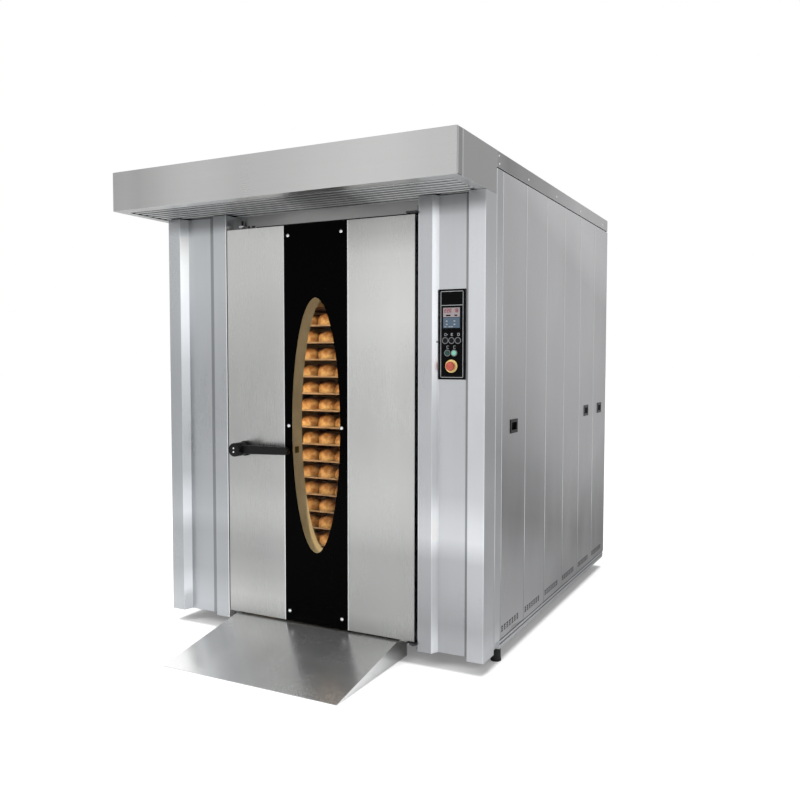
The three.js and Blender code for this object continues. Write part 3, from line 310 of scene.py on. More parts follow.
def crust(name):
    """Baked rolls: dark golden tops, paler sides, blisters and a little gloss."""
    net = Net(name)
    parts = net.split(net.add("NewGeometry"), "Normal")
    spots = net.noise((38.0,) * 3, detail=5, rough=0.6)
    wide = net.noise((14.0,) * 3, detail=2)
    baked = net.math("ADD", net.span(parts, Z, 0.05, 0.85, -0.6, 1.0), net.span(spots, 0, -0.34, 0.34))
    baked = net.math("ADD", baked, net.span(wide, 0, -0.28, 0.3))
    ramp = net.add("ValToRGB")
    stops = ramp.color_ramp.elements
    stops.new(0.5)
    for stop, (position, colour) in zip(stops, CRUST_COLOURS):
        stop.position, stop.color = position, colour
    net.link(baked, 0, ramp, 0)
    net.link(ramp, 0, net.shader, "Base Color")
    net.link(net.span(spots, 0, 0.3, 0.5), 0, net.shader, "Roughness")
    blisters = net.noise((120.0,) * 3, detail=3)
    net.link(net.bump(blisters, 0.35, 0.002), 0, net.shader, "Normal")
    return net.material


# ---- materials ----
# Each table is painted light and shade, what a face mirrors and the shade that falls on it, as (place, tone)
# pairs along an axis or a direction. The tones are listed, and were corrected from how light the photograph
# and a render are at places along each face.
RIGHT_UP = (Z, (
    (0.06, 0.95), (0.12, 0.87), (0.2, 0.71), (0.35, 0.77), (0.5, 0.79), (0.6, 1.14), (0.68, 1.1),
    (0.8, 0.94), (1.0, 0.98), (1.2, 1.05), (1.8, 1.09), (2.06, 1.08), (2.11, 0.72), (2.15, 0.7),
))
RIGHT_SIDE_UP = (Z, (
    (0.06, 1.5), (0.12, 1.45), (0.2, 1.08), (0.35, 0.9), (0.5, 0.76), (0.7, 0.71), (0.85, 0.82),
    (1.0, 0.84), (1.2, 0.96), (1.4, 1.12), (1.6, 1.34), (1.8, 1.3), (2.0, 1.22), (2.15, 1.15),
))
LEFT_UP = (Z, (
    (0.06, 1.15), (0.12, 1.12), (0.2, 0.98), (0.3, 0.8), (0.5, 0.75), (0.6, 0.88), (0.7, 0.84),
    (0.82, 0.82), (1.0, 0.9), (1.4, 0.96), (1.6, 1.05), (1.8, 1.15), (2.06, 1.18), (2.11, 0.78),
    (2.15, 0.76),
))
RIGHT_ACROSS = (X, (
    (0.56, 0.8), (0.5695, 1.3), (0.573, 1.3), (0.5735, 0.92), (0.637, 0.92), (0.638, 1.5), (0.656, 1.5),
    (0.6575, 1.0), (0.7885, 1.0), (0.7895, 0.48), (0.805, 0.48), (0.806, 1.16), (0.894, 1.16),
    (0.898, 1.4), (0.8993, 1.4), (0.8996, 0.8), (0.9, 0.8),
))
LEFT_ACROSS = (X, (
    (-0.9, 1.0), (-0.824, 1.0), (-0.823, 1.5), (-0.806, 1.5), (-0.805, 1.0), (-0.6585, 1.0),
    (-0.6575, 0.55), (-0.6255, 0.55), (-0.622, 0.97), (-0.53, 0.97), (-0.529, 1.8), (-0.525, 1.8),
))
RIGHT_STRIP_UP = (Z, (
    (0.06, 1.05), (0.12, 1.05), (0.2, 0.97), (0.3, 0.83), (0.5, 0.84), (0.6, 1.03), (0.72, 1.0),
    (0.85, 0.72), (1.05, 0.68), (1.2, 0.71), (1.4, 0.92), (1.6, 0.98), (2.05, 0.88), (2.11, 0.76),
))
LEFT_STRIP_UP = (Z, (
    (0.06, 0.72), (0.14, 0.76), (0.18, 0.97), (0.3, 0.9), (0.48, 0.95), (0.6, 1.2), (0.7, 1.13),
    (0.82, 0.85), (1.0, 0.77), (1.2, 0.76), (1.4, 0.8), (1.6, 0.91), (2.05, 0.97), (2.11, 0.72),
))
LEAN = (-0.16, -0.25, 0.0)
RIGHT_STRIP = ((X, ((0.6375, 0.0), (0.6385, 1.0), (0.656, 1.0), (0.657, 0.0))), LEAN, RIGHT_STRIP_UP)
LEFT_STRIP = ((X, ((-0.8235, 0.0), (-0.8225, 1.0), (-0.806, 1.0), (-0.805, 0.0))), LEAN, LEFT_STRIP_UP)
DOOR_UP = (Z, (
    (0.11, 0.8), (0.15, 1.0), (0.21, 1.06), (0.32, 0.8), (0.42, 0.68), (0.5, 0.7), (0.62, 0.85),
    (0.7, 0.88), (0.8, 0.84), (1.0, 0.93), (1.2, 1.01), (1.4, 1.06), (1.6, 1.16), (1.8, 1.27),
    (2.07, 1.29),
))
DOOR_RIGHT_UP = (Z, (
    (0.11, 0.58), (0.2, 0.72), (0.32, 0.69), (0.5, 0.645), (0.62, 0.77), (0.8, 0.865), (1.0, 1.0),
    (1.2, 1.07), (1.4, 1.13), (1.6, 1.22), (1.8, 1.19), (1.9, 1.12), (2.0, 0.84), (2.07, 0.74),
))
DOOR_ACROSS = (X, (
    (-0.5125, 0.8), (-0.509, 0.9), (-0.5065, 0.95), (-0.3, 0.92), (-0.165, 0.97), (-0.16, 1.3),
    (0.204, 1.3), (0.207, 1.03), (0.45, 1.08), (0.553, 1.04), (0.5565, 0.8),
))
# The dark horizon that the side mirrors sinks towards the back.
SIDE_UP = ((0.0, 0.25, 1.0), (
    (0.19, 0.88), (0.29, 0.76), (0.39, 0.65), (0.49, 0.56), (0.59, 0.43), (0.69, 0.33), (0.77, 0.295),
    (0.86, 0.35), (1.0, 0.48), (1.15, 0.68), (1.3, 0.82), (1.5, 0.92), (1.9, 0.98), (2.3, 0.97),
    (2.42, 1.1), (2.58, 1.2), (2.8, 1.18),
))
SIDE_ALONG = (Y, ((0.21, 0.97), (0.9, 1.01), (1.6, 1.01), (1.88, 0.98), (2.24, 0.9)))
ROOF_ALONG = (Y, (
    (-0.32, 1.0), (0.0, 1.0), (0.14, 0.82), (0.28, 0.64), (0.6, 0.82), (0.9, 0.9), (1.2, 1.16),
    (1.5, 1.32), (2.1, 1.29), (2.24, 1.2),
))
PLAIN_ALONG = (Y, ((0.0, 1.0), (1.0, 1.0)))
POST_UP = (Z, (
    (0.0, 1.3), (0.12, 1.6), (0.2, 1.14), (0.35, 0.96), (0.5, 0.77), (0.7, 0.74), (1.0, 0.84),
    (1.2, 1.1), (1.4, 1.23), (1.65, 1.38), (1.85, 1.32), (2.1, 1.13), (2.26, 1.1),
))
RAIL_ALONG = (Y, ((0.21, 1.0), (0.35, 0.92), (1.0, 0.75), (1.4, 0.68), (1.8, 0.52), (2.24, 0.48)))
# The lower back corner of the side lies in the shade.
CORNER_SHADE = ((0.0, 0.6, -1.0), (
    (-2.5, 1.0), (0.35, 1.0), (0.55, 0.85), (0.75, 0.8), (1.0, 0.72), (1.25, 0.68)
))
RAMP_ACROSS = (X, ((-0.47, 1.15), (-0.25, 1.13), (-0.08, 0.96), (0.18, 0.92), (0.47, 1.04)))
RAMP_ALONG = (Y, ((-0.542, 1.16), (-0.3, 1.14), (-0.12, 1.0), (0.1, 0.96)))
# The canopy filter's ribs are bright below, with painted shade darkening the grooves between them.
FILTER_UP = (Z, ((2.1563, 1.0), (2.1572, 1.0), (2.159, 0.22), (2.1763, 0.16)))
FASCIA_ACROSS = (X, (
    (-0.972, 1.0), (-0.88, 1.02), (-0.8, 0.96), (-0.62, 1.11), (-0.4, 1.17), (-0.2, 1.09), (0.0, 1.11),
    (0.2, 1.16), (0.45, 1.2), (0.62, 1.19), (0.78, 1.07), (0.9, 1.04),
))
HEADER_ACROSS = (X, (
    (-0.525, 0.72), (-0.47, 0.82), (-0.42, 0.92), (-0.3, 1.15), (-0.2, 1.5), (0.0, 1.62), (0.2, 1.62),
    (0.3, 1.5), (0.4, 1.36), (0.5, 1.1), (0.57, 1.0),
))
FILTER_ACROSS = (X, (
    (-0.933, 0.9), (-0.8, 0.78), (-0.7, 0.64), (-0.1, 0.72), (-0.02, 0.54), (0.06, 0.4),
    (0.26, 0.4), (0.34, 0.74), (0.45, 0.95), (0.75, 0.95), (0.861, 1.05),
))
DUCT_UP = (Z, ((0.2, 0.5), (1.69, 0.5), (1.74, 1.6), (2.0, 1.6)))
SEAM_UP = (Z, ((0.1, 0.46), (0.36, 0.52), (0.52, 0.9), (0.9, 1.05), (2.2, 1.08)))
look = {
    "right_front": steel("brushed_right_front", (0.592, 0.605, 0.624), 0.3, tones=(RIGHT_UP, RIGHT_ACROSS),
        strip=RIGHT_STRIP, turned=RIGHT_SIDE_UP),
    "left_front": steel("brushed_left_front", (0.584, 0.604, 0.624), 0.3, tones=(LEFT_UP, LEFT_ACROSS),
        strip=LEFT_STRIP),
    "door": steel("brushed_door", (0.6, 0.606, 0.592), 0.27, wave=0.4, streak=0.004,
        tones=(DOOR_UP, DOOR_ACROSS), divided=(0.02, DOOR_RIGHT_UP)),
    "fascia": steel("brushed_fascia", (0.6, 0.603, 0.597), 0.32, grain="x", ends=(X, 0.72),
        tones=(FASCIA_ACROSS,), turned=PLAIN_ALONG),
    "side": steel("brushed_side", (0.6, 0.6, 0.615), 0.33, tones=(SIDE_UP, SIDE_ALONG, CORNER_SHADE)),
    "roof": steel("brushed_roof", (0.6, 0.6, 0.612), 0.38, grain="y", cloud=0.08, ends=(X, 0.8),
        tones=(PLAIN_ALONG,), turned=ROOF_ALONG),
    # The ramp's steel is a lighter, partly diffuse copy, as painted light.
    "ramp": steel("brushed_ramp", (0.89, 0.9, 0.89), 0.23, grain="y", wave=0.2, metal=0.88, ends=(X, 1.02),
        tones=(RAMP_ACROSS, RAMP_ALONG)),
    "frame": steel("brushed_frame", (0.452, 0.46, 0.472), 0.36, tones=(POST_UP, RAIL_ALONG)),
    # The header's steel is a darker copy, as painted shade under the canopy.
    "header": steel("brushed_header", (0.42, 0.42, 0.415), 0.36, grain="x", tones=(HEADER_ACROSS,)),
    "filter": steel("brushed_filter", (0.58, 0.59, 0.59), 0.34, grain="x",
        tones=(FILTER_UP, FILTER_ACROSS)),
    "liner": steel("liner_sheet", (0.5, 0.44, 0.36), 0.42, cloud=0.12, wave=0.3, metal=0.6),
    "duct": steel("duct_sheet", (0.82, 0.63, 0.45), 0.45, cloud=0.1, wave=0.2, metal=0.3, tones=(DUCT_UP,)),
    "rack": steel("rack_steel", (0.55, 0.52, 0.48), 0.36, cloud=0.08),
    # The tray is near black, as painted shade under each tray and between the tiers; the loaded trays' lips
    # are a lighter copy, as painted highlight.
    "tray": varied("tray_steel_shaded", (0.05, 0.022, 0.013), 0.45, metal=0.2, size=30, amount=0.2, specular=0.3),
    "tray_rim_highlight": varied("tray_rim_highlight", (0.42, 0.31, 0.24), 0.36, metal=0.2, size=30, amount=0.15),
    "cast": varied("cast_iron", (0.075, 0.075, 0.08), 0.55, metal=0.7, bump=0.5, depth=0.001),
    "paint": varied("motor_paint", (0.062, 0.1, 0.14), 0.42, bump=0.3),
    "wool": varied("mineral_wool", (0.5, 0.39, 0.19), 0.95, size=25, amount=0.25, bump=0.9, depth=0.004),
    "rubber": varied("seal_rubber", (0.016, 0.016, 0.017), 0.7, size=40),
    "plastic": varied("black_plastic", (0.0045, 0.0045, 0.005), 0.4, bump=0.25, specular=0.2),
    "latch": varied("latch_plastic", (0.055, 0.055, 0.057), 0.5, bump=0.25, specular=0.3),
    "panel": varied("panel_plate", (0.002, 0.002, 0.0023), 0.36, bump=0.08, specular=0.06),
    "wheel": varied("wheel_resin", (0.035, 0.028, 0.024), 0.5),
    "black_glass": varied("black_glass", (0.0006, 0.0006, 0.0006), 0.14, bump=0.0, size=12, specular=0.02),
    "pane": pane("window_pane", (0.97, 0.965, 0.94)),
    "chrome": steel("polished_screw", (0.86, 0.87, 0.87), 0.16, streak=0.02, cloud=0.02, wave=0.0),
    # Near-white steel: painted highlight on thin edge strips, and the strike plate's polished face.
    "edge": steel("edge_and_plate_highlight", (0.95, 0.95, 0.95), 0.34, cloud=0.03),
    # A darker copy of the steel for the canopy's right end, as painted shade.
    "end_strip": steel("canopy_return", (0.36, 0.36, 0.365), 0.34),
    "seam": varied("seam_shadow", (0.05, 0.05, 0.055), 0.6, size=30),
    # Bright strips at the side panels' front edges, as painted highlight, dimmer low down.
    "seam_highlight": steel("seam_highlight", (0.92, 0.92, 0.93), 0.34, cloud=0.1, tones=(SEAM_UP,)),
    "hole": varied("hole_shadow", (0.004, 0.004, 0.0045), 0.8, size=60, specular=0.1),
    "bolt": steel("zinc_bolt", (0.62, 0.62, 0.6), 0.26, streak=0.05, cloud=0.05, wave=0.0),
    "reveal": varied("window_reveal", (0.62, 0.54, 0.36), 0.55, size=7, amount=0.12, bump=0.15),
    "olive": varied("reveal_dark_block", (0.085, 0.07, 0.018), 0.5),
    "crust": crust("bread_crust"),
    "lamp": glow("lamp_tube", (1.0, 0.74, 0.4), 3.0, size=30),
    "bezel": varied("panel_bezel", (0.42, 0.43, 0.44), 0.4, metal=0.6),
    "ring": varied("button_ring", (0.24, 0.25, 0.26), 0.45, metal=0.4),
    "screen": glow("screen_glass", (0.29, 0.25, 0.26), 0.22),
    "digit": varied("red_digits", (0.3, 0.006, 0.03), 0.4, size=300),
    "knob": varied("olive_knob", (0.22, 0.235, 0.17), 0.4, size=200),
    "slate": varied("slate_keypad", (0.075, 0.115, 0.165), 0.4, size=200, amount=0.1, bump=0.05),
    "white": varied("white_print", (0.42, 0.44, 0.46), 0.5, size=300, amount=0.06, bump=0.02),
    "dark_green": varied("green_key_dark", (0.01, 0.058, 0.045), 0.32, size=120),
    "green": glow("green_key_lit", (0.17, 0.44, 0.34), 0.35),
    "red": varied("stop_red", (0.5, 0.085, 0.055), 0.34, size=90, amount=0.1, bump=0.05),
    "yellow": varied("stop_yellow", (0.84, 0.6, 0.22), 0.42, size=90, amount=0.1, bump=0.05),
    "heater": varied("heater_rod", (0.16, 0.08, 0.05), 0.5, metal=0.8, size=20, amount=0.3),
    "foot": varied("foot_rubber", (0.012, 0.012, 0.012), 0.75, size=50),
}

# Which nodes wear which look.
DRESS = {
    "right_front": ("right_front_column",),
    "left_front": ("left_front_column",),
    "door": ("door_shell",),
    "fascia": ("canopy_shell",),
    "side": ("left_side_panels", "back_panel", *(f"right_side_panel_{i}" for i in range(1, PANELS + 1))),
    "roof": ("roof_panel",),
    "ramp": ("ramp",),
    "header": ("door_frame",),
    "frame": ("chassis_frame",),
    "duct": ("air_duct_panel",),
    "bolt": ("exhaust_duct", "damper_flap"),
    "filter": ("canopy_filter",),
    "liner": ("chamber_shell", "door_inner_liner", "turntable", "circulation_fan", "canopy_fan"),
    "rack": ("rack_trolley",),
    "cast": ("rack_shaft", "rack_bearing", "motor_sprocket", "drive_chain", "steam_cascade",
             "door_hinge_lower", "door_hinge_upper"),
    "heater": ("heater_bank",),
    "paint": ("gearmotor", "circulation_motor", "canopy_fan_motor"),
    "wool": ("insulation_jacket",),
    "rubber": ("door_gasket",),
    "wheel": tuple(f"trolley_wheel_{i}" for i in range(1, 5)),
    "latch": ("side_latch_2", "side_latch_3"),
    "plastic": ("handle_rose", "handle_lever", "side_latch_1", *(f"program_button_{i}" for i in (1, 2, 3))),
    "panel": ("control_panel",),
    "black_glass": ("door_glass_strip",),
    "pane": ("door_window_glass", "door_inner_glass"),
    "slate": ("control_display",),
    "lamp": ("chamber_lamp",),
    "dark_green": ("lamp_button",),
    "green": ("start_button",),
    "red": ("emergency_stop_button",),
}
# The radius of each folded sheet's edges.
SOFT_EDGES = {
    "left_front_column": 0.0016, "right_front_column": 0.0016, "door_shell": 0.0018, "canopy_shell": 0.002,
    "roof_panel": 0.002, "ramp": 0.0015, "door_glass_strip": 0.0008,
    **{f"right_side_panel_{i}": 0.0018 for i in range(1, PANELS + 1)},
    "left_side_panels": 0.0015, "back_panel": 0.0012,
}


WELD_DISTANCE, FLAT_ANGLE = 0.00002, math.radians(0.5)
SHARP_ANGLE, SMOOTH_ANGLE = math.radians(40), math.radians(38)


def round_edges(obj, width, segments=2):
    bevel = obj.modifiers.new("bevel", "BEVEL")
    bevel.width = width
    bevel.segments = segments
    bevel.limit_method = "ANGLE"
    bevel.angle_limit = SHARP_ANGLE


def soften(obj, width):
    """Round a node's folded edges, which catch the light, once its coplanar triangles are joined."""
    weld = obj.modifiers.new("weld", "WELD")
    weld.merge_threshold = WELD_DISTANCE
    flat = obj.modifiers.new("flat", "DECIMATE")
    flat.decimate_type = "DISSOLVE"
    flat.angle_limit = FLAT_ANGLE
    round_edges(obj, width)


for key, names in DRESS.items():
    for name in names:
        nodes[name].data.materials.clear()
        nodes[name].data.materials.append(look[key])
for name, width in SOFT_EDGES.items():
    soften(nodes[name], width)


# ---- shape helpers ----
def new_object(name, data):
    obj = bpy.data.objects.new(name, data)
    scene.collection.objects.link(obj)
    return obj


class Shape:
    """A mesh put together from boxes, rods and rings in the frame's coordinates."""

    def __init__(self):
        self.verts = []
        self.faces = []

    def box(self, lo, hi):
        base = len(self.verts)
        for z in (lo[2], hi[2]):
            for x, y in ((lo[0], lo[1]), (hi[0], lo[1]), (hi[0], hi[1]), (lo[0], hi[1])):
                self.verts.append((x, y, z))
        for face in ((3, 2, 1, 0), (4, 5, 6, 7), (0, 1, 5, 4), (1, 2, 6, 5), (2, 3, 7, 6), (3, 0, 4, 7)):
            self.faces.append(tuple(base + i for i in face))
        return self

    def lathe(self, axis, centre, profile, sides=40, stretch=(1.0, 1.0)):
        """Turn a profile of (radius, distance along the axis) pairs. It closes where a radius is 0."""
        rings = []
        for radius, along in profile:
            ring = []
            count = 1 if radius == 0 else sides
            for i in range(count):
                angle = 2 * math.pi * i / sides
                u, v = radius * math.cos(angle) * stretch[0], radius * math.sin(angle) * stretch[1]
                local = {"x": (along, u, v), "y": (u, along, v), "z": (u, v, along)}[axis]
                ring.append(len(self.verts))
                self.verts.append(tuple(c + d for c, d in zip(centre, local)))
            rings.append(ring)
        flip = axis == "y"
        for a, b in zip(rings, rings[1:]):
            for i in range(sides):
                quad = [a[i % len(a)], a[(i + 1) % len(a)], b[(i + 1) % len(b)], b[i % len(b)]]
                face = list(dict.fromkeys(quad))
                if len(face) > 2:
                    self.faces.append(tuple(reversed(face)) if flip else tuple(face))
        return self

    def dome(self, axis, centre, radius, height, sides=24):
        """A button head standing on the plane through centre, towards minus along the axis if height < 0."""
        profile = [(radius, 0.0), (radius * 0.97, height * 0.35), (radius * 0.8, height * 0.72),
                   (radius * 0.45, height * 0.94), (0.0, height)]
        return self.lathe(axis, centre, profile, sides)

    def make(self, name, key, body, bevel=0.0, smooth=False, segments=2):
        """Turn the shape into a piece with a look of its own, riding on a body."""
        mesh = bpy.data.meshes.new(name)
        mesh.from_pydata(self.verts, [], self.faces)
        mesh.validate()
        grid = bmesh.new()
        grid.from_mesh(mesh)
        bmesh.ops.recalc_face_normals(grid, faces=grid.faces)
        grid.to_mesh(mesh)
        grid.free()
        if smooth:
            mesh.polygons.foreach_set("use_smooth", [True] * len(mesh.polygons))
            mesh.set_sharp_from_angle(angle=SMOOTH_ANGLE)
        mesh.materials.append(look[key])
        obj = new_object(name, mesh)
        if bevel:
            round_edges(obj, bevel, segments)
        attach(obj, body)
        return obj


# ---- rack: trays and rolls ----
SHELF_FIRST, SHELF_PITCH, SHELVES, FULL_TRAYS = 0.303, 0.092, 18, 15
TRAY_GAP = 0.0003
TRAY_HALF_X, TRAY_HALF_Y, TRAY_HEIGHT, TRAY_SKIN = 0.389, 0.318, 0.011, 0.0015
LIP_OUT, LIP_DEPTH, LIP_DROP, LIP_RISE = 0.004, 0.006, 0.0085, 0.0005
ROLL_COLUMNS, ROLL_ROWS, ROLL_PITCH_X, ROLL_PITCH_Y, ROLL_SHIFT = 7, 6, 0.1085, 0.103, 0.004
ROLL_HALVES = ((0.052, 0.0555), (0.05, 0.053), (0.053, 0.06))  # least and most along x, y and z
ROLL_FOOT, ROLL_SQUARENESS, ROLL_LAST_PHASE = 0.012, 2.7, 6.28


def tray(name, z, rim):
    """A shallow sheet tray on the rack's side lips, with its rims rolled over at the front and back."""
    x0, x1 = RACK_X - TRAY_HALF_X, RACK_X + TRAY_HALF_X
    y0, y1 = RACK_Y - TRAY_HALF_Y, RACK_Y + TRAY_HALF_Y
    top = z + TRAY_HEIGHT
    pan = Shape().box((x0, y0, z), (x1, y1, z + TRAY_SKIN))
    for y in (y0, y1 - TRAY_SKIN):
        pan.box((x0, y, z), (x1, y + TRAY_SKIN, top))
    for x in (x0, x1 - TRAY_SKIN):
        pan.box((x, y0, z), (x + TRAY_SKIN, y1, top))
    pan.make(name, "tray", "rack")
    lips = Shape()
    for y in (y0 - LIP_OUT, y1 + LIP_OUT - LIP_DEPTH):
        lips.box((x0, y, top - LIP_DROP), (x1, y + LIP_DEPTH, top + LIP_RISE))
    lips.make(f"{name}_lips", rim, "rack", bevel=0.002)


def roll_mesh(seed):
    """A trayful of round rolls, resting at z = 0 round the rack's axis."""
    rng = random.Random(seed)
    grid = bmesh.new()
    for i in range(ROLL_COLUMNS):
        for j in range(ROLL_ROWS):
            made = bmesh.ops.create_icosphere(grid, subdivisions=3, radius=1.0)["verts"]
            cx = (i - (ROLL_COLUMNS - 1) / 2) * ROLL_PITCH_X + rng.uniform(-ROLL_SHIFT, ROLL_SHIFT)
            cy = (j - (ROLL_ROWS - 1) / 2) * ROLL_PITCH_Y + rng.uniform(-ROLL_SHIFT, ROLL_SHIFT)
            rx, ry, rz = [rng.uniform(*limits) for limits in ROLL_HALVES]
            phase = rng.uniform(0, ROLL_LAST_PHASE)
            for vert in made:
                round_off = sum(abs(v) ** ROLL_SQUARENESS for v in vert.co) ** (1 / ROLL_SQUARENESS)
                x, y, z = vert.co / round_off
                swell = 1 + 0.025 * math.sin(3 * math.atan2(y, x) + phase) + 0.02 * math.sin(5 * z + phase)
                up = z * rz if z > 0 else z * ROLL_FOOT
                vert.co = Vector((cx + x * rx * swell, cy + y * ry * swell, ROLL_FOOT + up * swell))
    mesh = bpy.data.meshes.new(f"rolls_{seed}")
    grid.to_mesh(mesh)
    grid.free()
    mesh.polygons.foreach_set("use_smooth", [True] * len(mesh.polygons))
    mesh.materials.append(look["crust"])
    return mesh


roll_meshes = [roll_mesh(seed) for seed in (1, 2, 3)]
for level in range(SHELVES):
    floor_z = SHELF_FIRST + level * SHELF_PITCH + TRAY_GAP
    # Loaded trays get the lighter lips as painted highlight, empty ones the pan's near-black tone.
    tray(f"tray_{level + 1:02d}", floor_z, "tray_rim_highlight" if level < FULL_TRAYS else "tray")
    if level >= FULL_TRAYS:
        continue
    rolls = new_object(f"rolls_{level + 1:02d}", roll_meshes[level % len(roll_meshes)])
    rolls.location = (RACK_X, RACK_Y, floor_z + TRAY_SKIN)
    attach(rolls, "rack")

# ---- door ----
WINDOW_HALF_X, WINDOW_HALF_Z = 0.142, 0.6325
STRIP_SCREWS_X, STRIP_SCREWS_Z = (-0.1335, 0.17), (2.021, 1.088, 0.161)
EDGE_FRONT, EDGE_BACK, EDGE_MARGIN = -0.0008, 0.0042, 0.0015

screws = Shape()
for x in STRIP_SCREWS_X:
    for z in STRIP_SCREWS_Z:
        screws.dome("y", (x, STRIP_FACE, z), 0.0095, -0.0055)
screws.make("strip_screws", "chrome", "door", smooth=True)

# Bright strips along the black strip's edges, as painted highlight.
edges = Shape()
for x, width in ((STRIP_LEFT - 0.005, 0.0046), (STRIP_RIGHT + 0.0004, 0.0034)):
    edges.box((x, EDGE_FRONT, DOOR_FOOT + EDGE_MARGIN), (x + width, EDGE_BACK, DOOR_TOP - EDGE_MARGIN))
edges.make("strip_edges", "edge", "door", bevel=0.0006)


def window_sleeve(inner, front, back, grow_x, grow_z):
    """An oval sleeve round the window. inner is its inside as a share of its outer size."""
    outline = [(1.0, front), (1.0, back), (inner, back), (inner, front), (1.0, front)]
    halves = (WINDOW_HALF_X + grow_x, WINDOW_HALF_Z + grow_z)
    return Shape().lathe("y", (WINDOW_X, 0.0, WINDOW_Z), outline, sides=120, stretch=halves)


reveal = window_sleeve(0.994, 0.0073, 0.0895, -0.0009, -0.0032)
reveal.make("window_reveal", "reveal", "door", smooth=True)
rim = window_sleeve(0.985, -0.0016, 0.0036, 0.0002, 0.0002)
rim.make("window_edge", "black_glass", "door", smooth=True)
# A small dark olive block on the reveal's left wall.
dark_block = Shape().box((-0.1185, 0.024, 0.95), (-0.1135, 0.056, 0.982))
dark_block.make("reveal_dark_block", "olive", "door", bevel=0.001)
tape = Shape().box((DOOR_LEFT, 0.0045, DOOR_TOP + 0.0002), (DOOR_RIGHT, 0.059, DOOR_TOP + 0.0012))
tape.make("door_top_tape", "rubber", "door")

# ---- lever ----
HUB_FACE, HUB_BACK, SPINDLE_END = -0.1003, -0.0143, 0.049
ARM_FRONT, ARM_BACK, ARM_HALF = -0.0723, -0.0443, 0.0225
ARM_REACH, TIP_RISE, TIP_RADIUS, TIP_STEP = 0.285, 0.005, 0.0185, 0.35

hub = Shape().lathe(
    "y", (LEVER_X, 0.0, LEVER_Z),
    [(0.0, HUB_FACE), (0.029, HUB_FACE), (0.0325, -0.0988), (0.034, -0.0955), (0.034, -0.0245),
     (0.0315, -0.0232), (0.0315, -0.0205), (0.034, -0.0192), (0.034, -0.0152), (0.033, HUB_BACK),
     (0.0, HUB_BACK)],
    sides=64,
)
hub_piece = hub.make("lever_hub", "plastic", "lever", smooth=True)
spindle = Shape().lathe(
    "y", (LEVER_X, 0.0, LEVER_Z),
    [(0.0, -0.0145), (0.009, -0.0145), (0.009, SPINDLE_END), (0.0, SPINDLE_END)], 32,
)
spindle_piece = spindle.make("lever_spindle", "bolt", "lever", smooth=True)


def lever_arm():
    """The flat arm: a little deeper at the hub, rounded at its free end."""
    outline = [(0.0, -ARM_HALF), (ARM_REACH, TIP_RISE - TIP_RADIUS)]
    for step in range(1, 9):
        angle = step * TIP_STEP
        outline.append((ARM_REACH + TIP_RADIUS * math.sin(angle), TIP_RISE - TIP_RADIUS * math.cos(angle)))
    outline += [(ARM_REACH, TIP_RISE + TIP_RADIUS), (0.0, ARM_HALF)]
    shape = Shape()
    for y in (ARM_FRONT, ARM_BACK):
        shape.verts += [(LEVER_X + x, y, LEVER_Z + z) for x, z in outline]
    count = len(outline)
    shape.faces.append(tuple(range(count)))
    shape.faces.append(tuple(range(2 * count - 1, count - 1, -1)))
    for i in range(count):
        j = (i + 1) % count
        shape.faces.append((i, i + count, j + count, j))
    return shape.make("lever_arm", "plastic", "lever", bevel=0.0045, smooth=True, segments=3)


arm_piece = lever_arm()
for piece in (hub_piece, spindle_piece, arm_piece):
    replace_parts(piece, "handle_lever")
caps = Shape()
for dz in (-0.0092, 0.0092):
    caps.dome("y", (LEVER_X, HUB_FACE, LEVER_Z + dz), 0.0052, -0.003)
caps.make("lever_screws", "chrome", "lever", smooth=True)

# ---- strike plate, painted shadow line and plunger on the header ----
SEATED = HEADER_FACE + 0.0005
DARK_STRIP_FRONT = HEADER_FACE - 0.0035

strike = Shape().box((-0.4925, 0.074, 2.093), (-0.464, SEATED, 2.103))
strike.make("strike_plate", "edge", "body", bevel=0.0015)
# A strip of black rubber on the header just above the door: a painted shadow line over the door's top.
shadow_line = Shape().box((-0.398, DARK_STRIP_FRONT, 2.088), (0.54, SEATED, 2.0948))
shadow_line.make("header_shadow_line", "rubber", "body", bevel=0.001)
plunger = Shape().lathe(
    "z", (-0.478, 0.088, 0.0),
    [(0.0, 2.1027), (0.0062, 2.1027), (0.0062, 2.126), (0.0045, 2.13), (0.0, 2.13)], 28,
)
plunger.make("plunger", "plastic", "body", smooth=True)
slots = Shape()
for x0, x1 in ((-0.455, -0.442), (-0.427, -0.409)):
    slots.box((x0, DARK_STRIP_FRONT, 2.092), (x1, SEATED, 2.1022))
slots.make("strike_slots", "seam", "body", bevel=0.0008)

# ---- hinge bolt ----
bolt = Shape().lathe(
    "z", (HINGE_X, HINGE_Y, 0.0),
    [(0.0, 0.084), (0.0105, 0.084), (0.0115, 0.0865), (0.0115, 0.0958), (0.0, 0.0958)], 6,
)
bolt.make("hinge_bolt_lower", "cast", "body", bevel=0.001)
hinge_screw = Shape().dome("y", (0.531, -0.006, 0.1), 0.0035, -0.003)
hinge_screw.make("hinge_screw_lower", "chrome", "body", smooth=True)

# ---- control panel ----
PLATE_FACE = COLLAR_FACE + 0.004
LINE_FACE, MARK_FACE = PLATE_FACE - 0.0008, PLATE_FACE - 0.0006
BORDER_INSET, LINE_WIDTH = 0.0085, 0.0028
BEZEL_FACE, GLASS_FACE, PRINT_FACE, KEY_FACE = 0.0352, 0.0344, 0.034, 0.0338
GLASS_INSET = 0.0035
FIGURE_WIDTH, FIGURE_HEIGHT, FIGURE_PITCH, FIGURE_FOOT, STROKE_SHARE = 0.0092, 0.017, 0.0125, 1.6265, 0.3
MARK_HALF_X, MARK_HALF_Z, MARK_STROKE = 0.0052, 0.0062, 0.0016
SEGMENTS = {"0": "abcdef", "1": "bc", "2": "abged", "8": "abcdefg"}

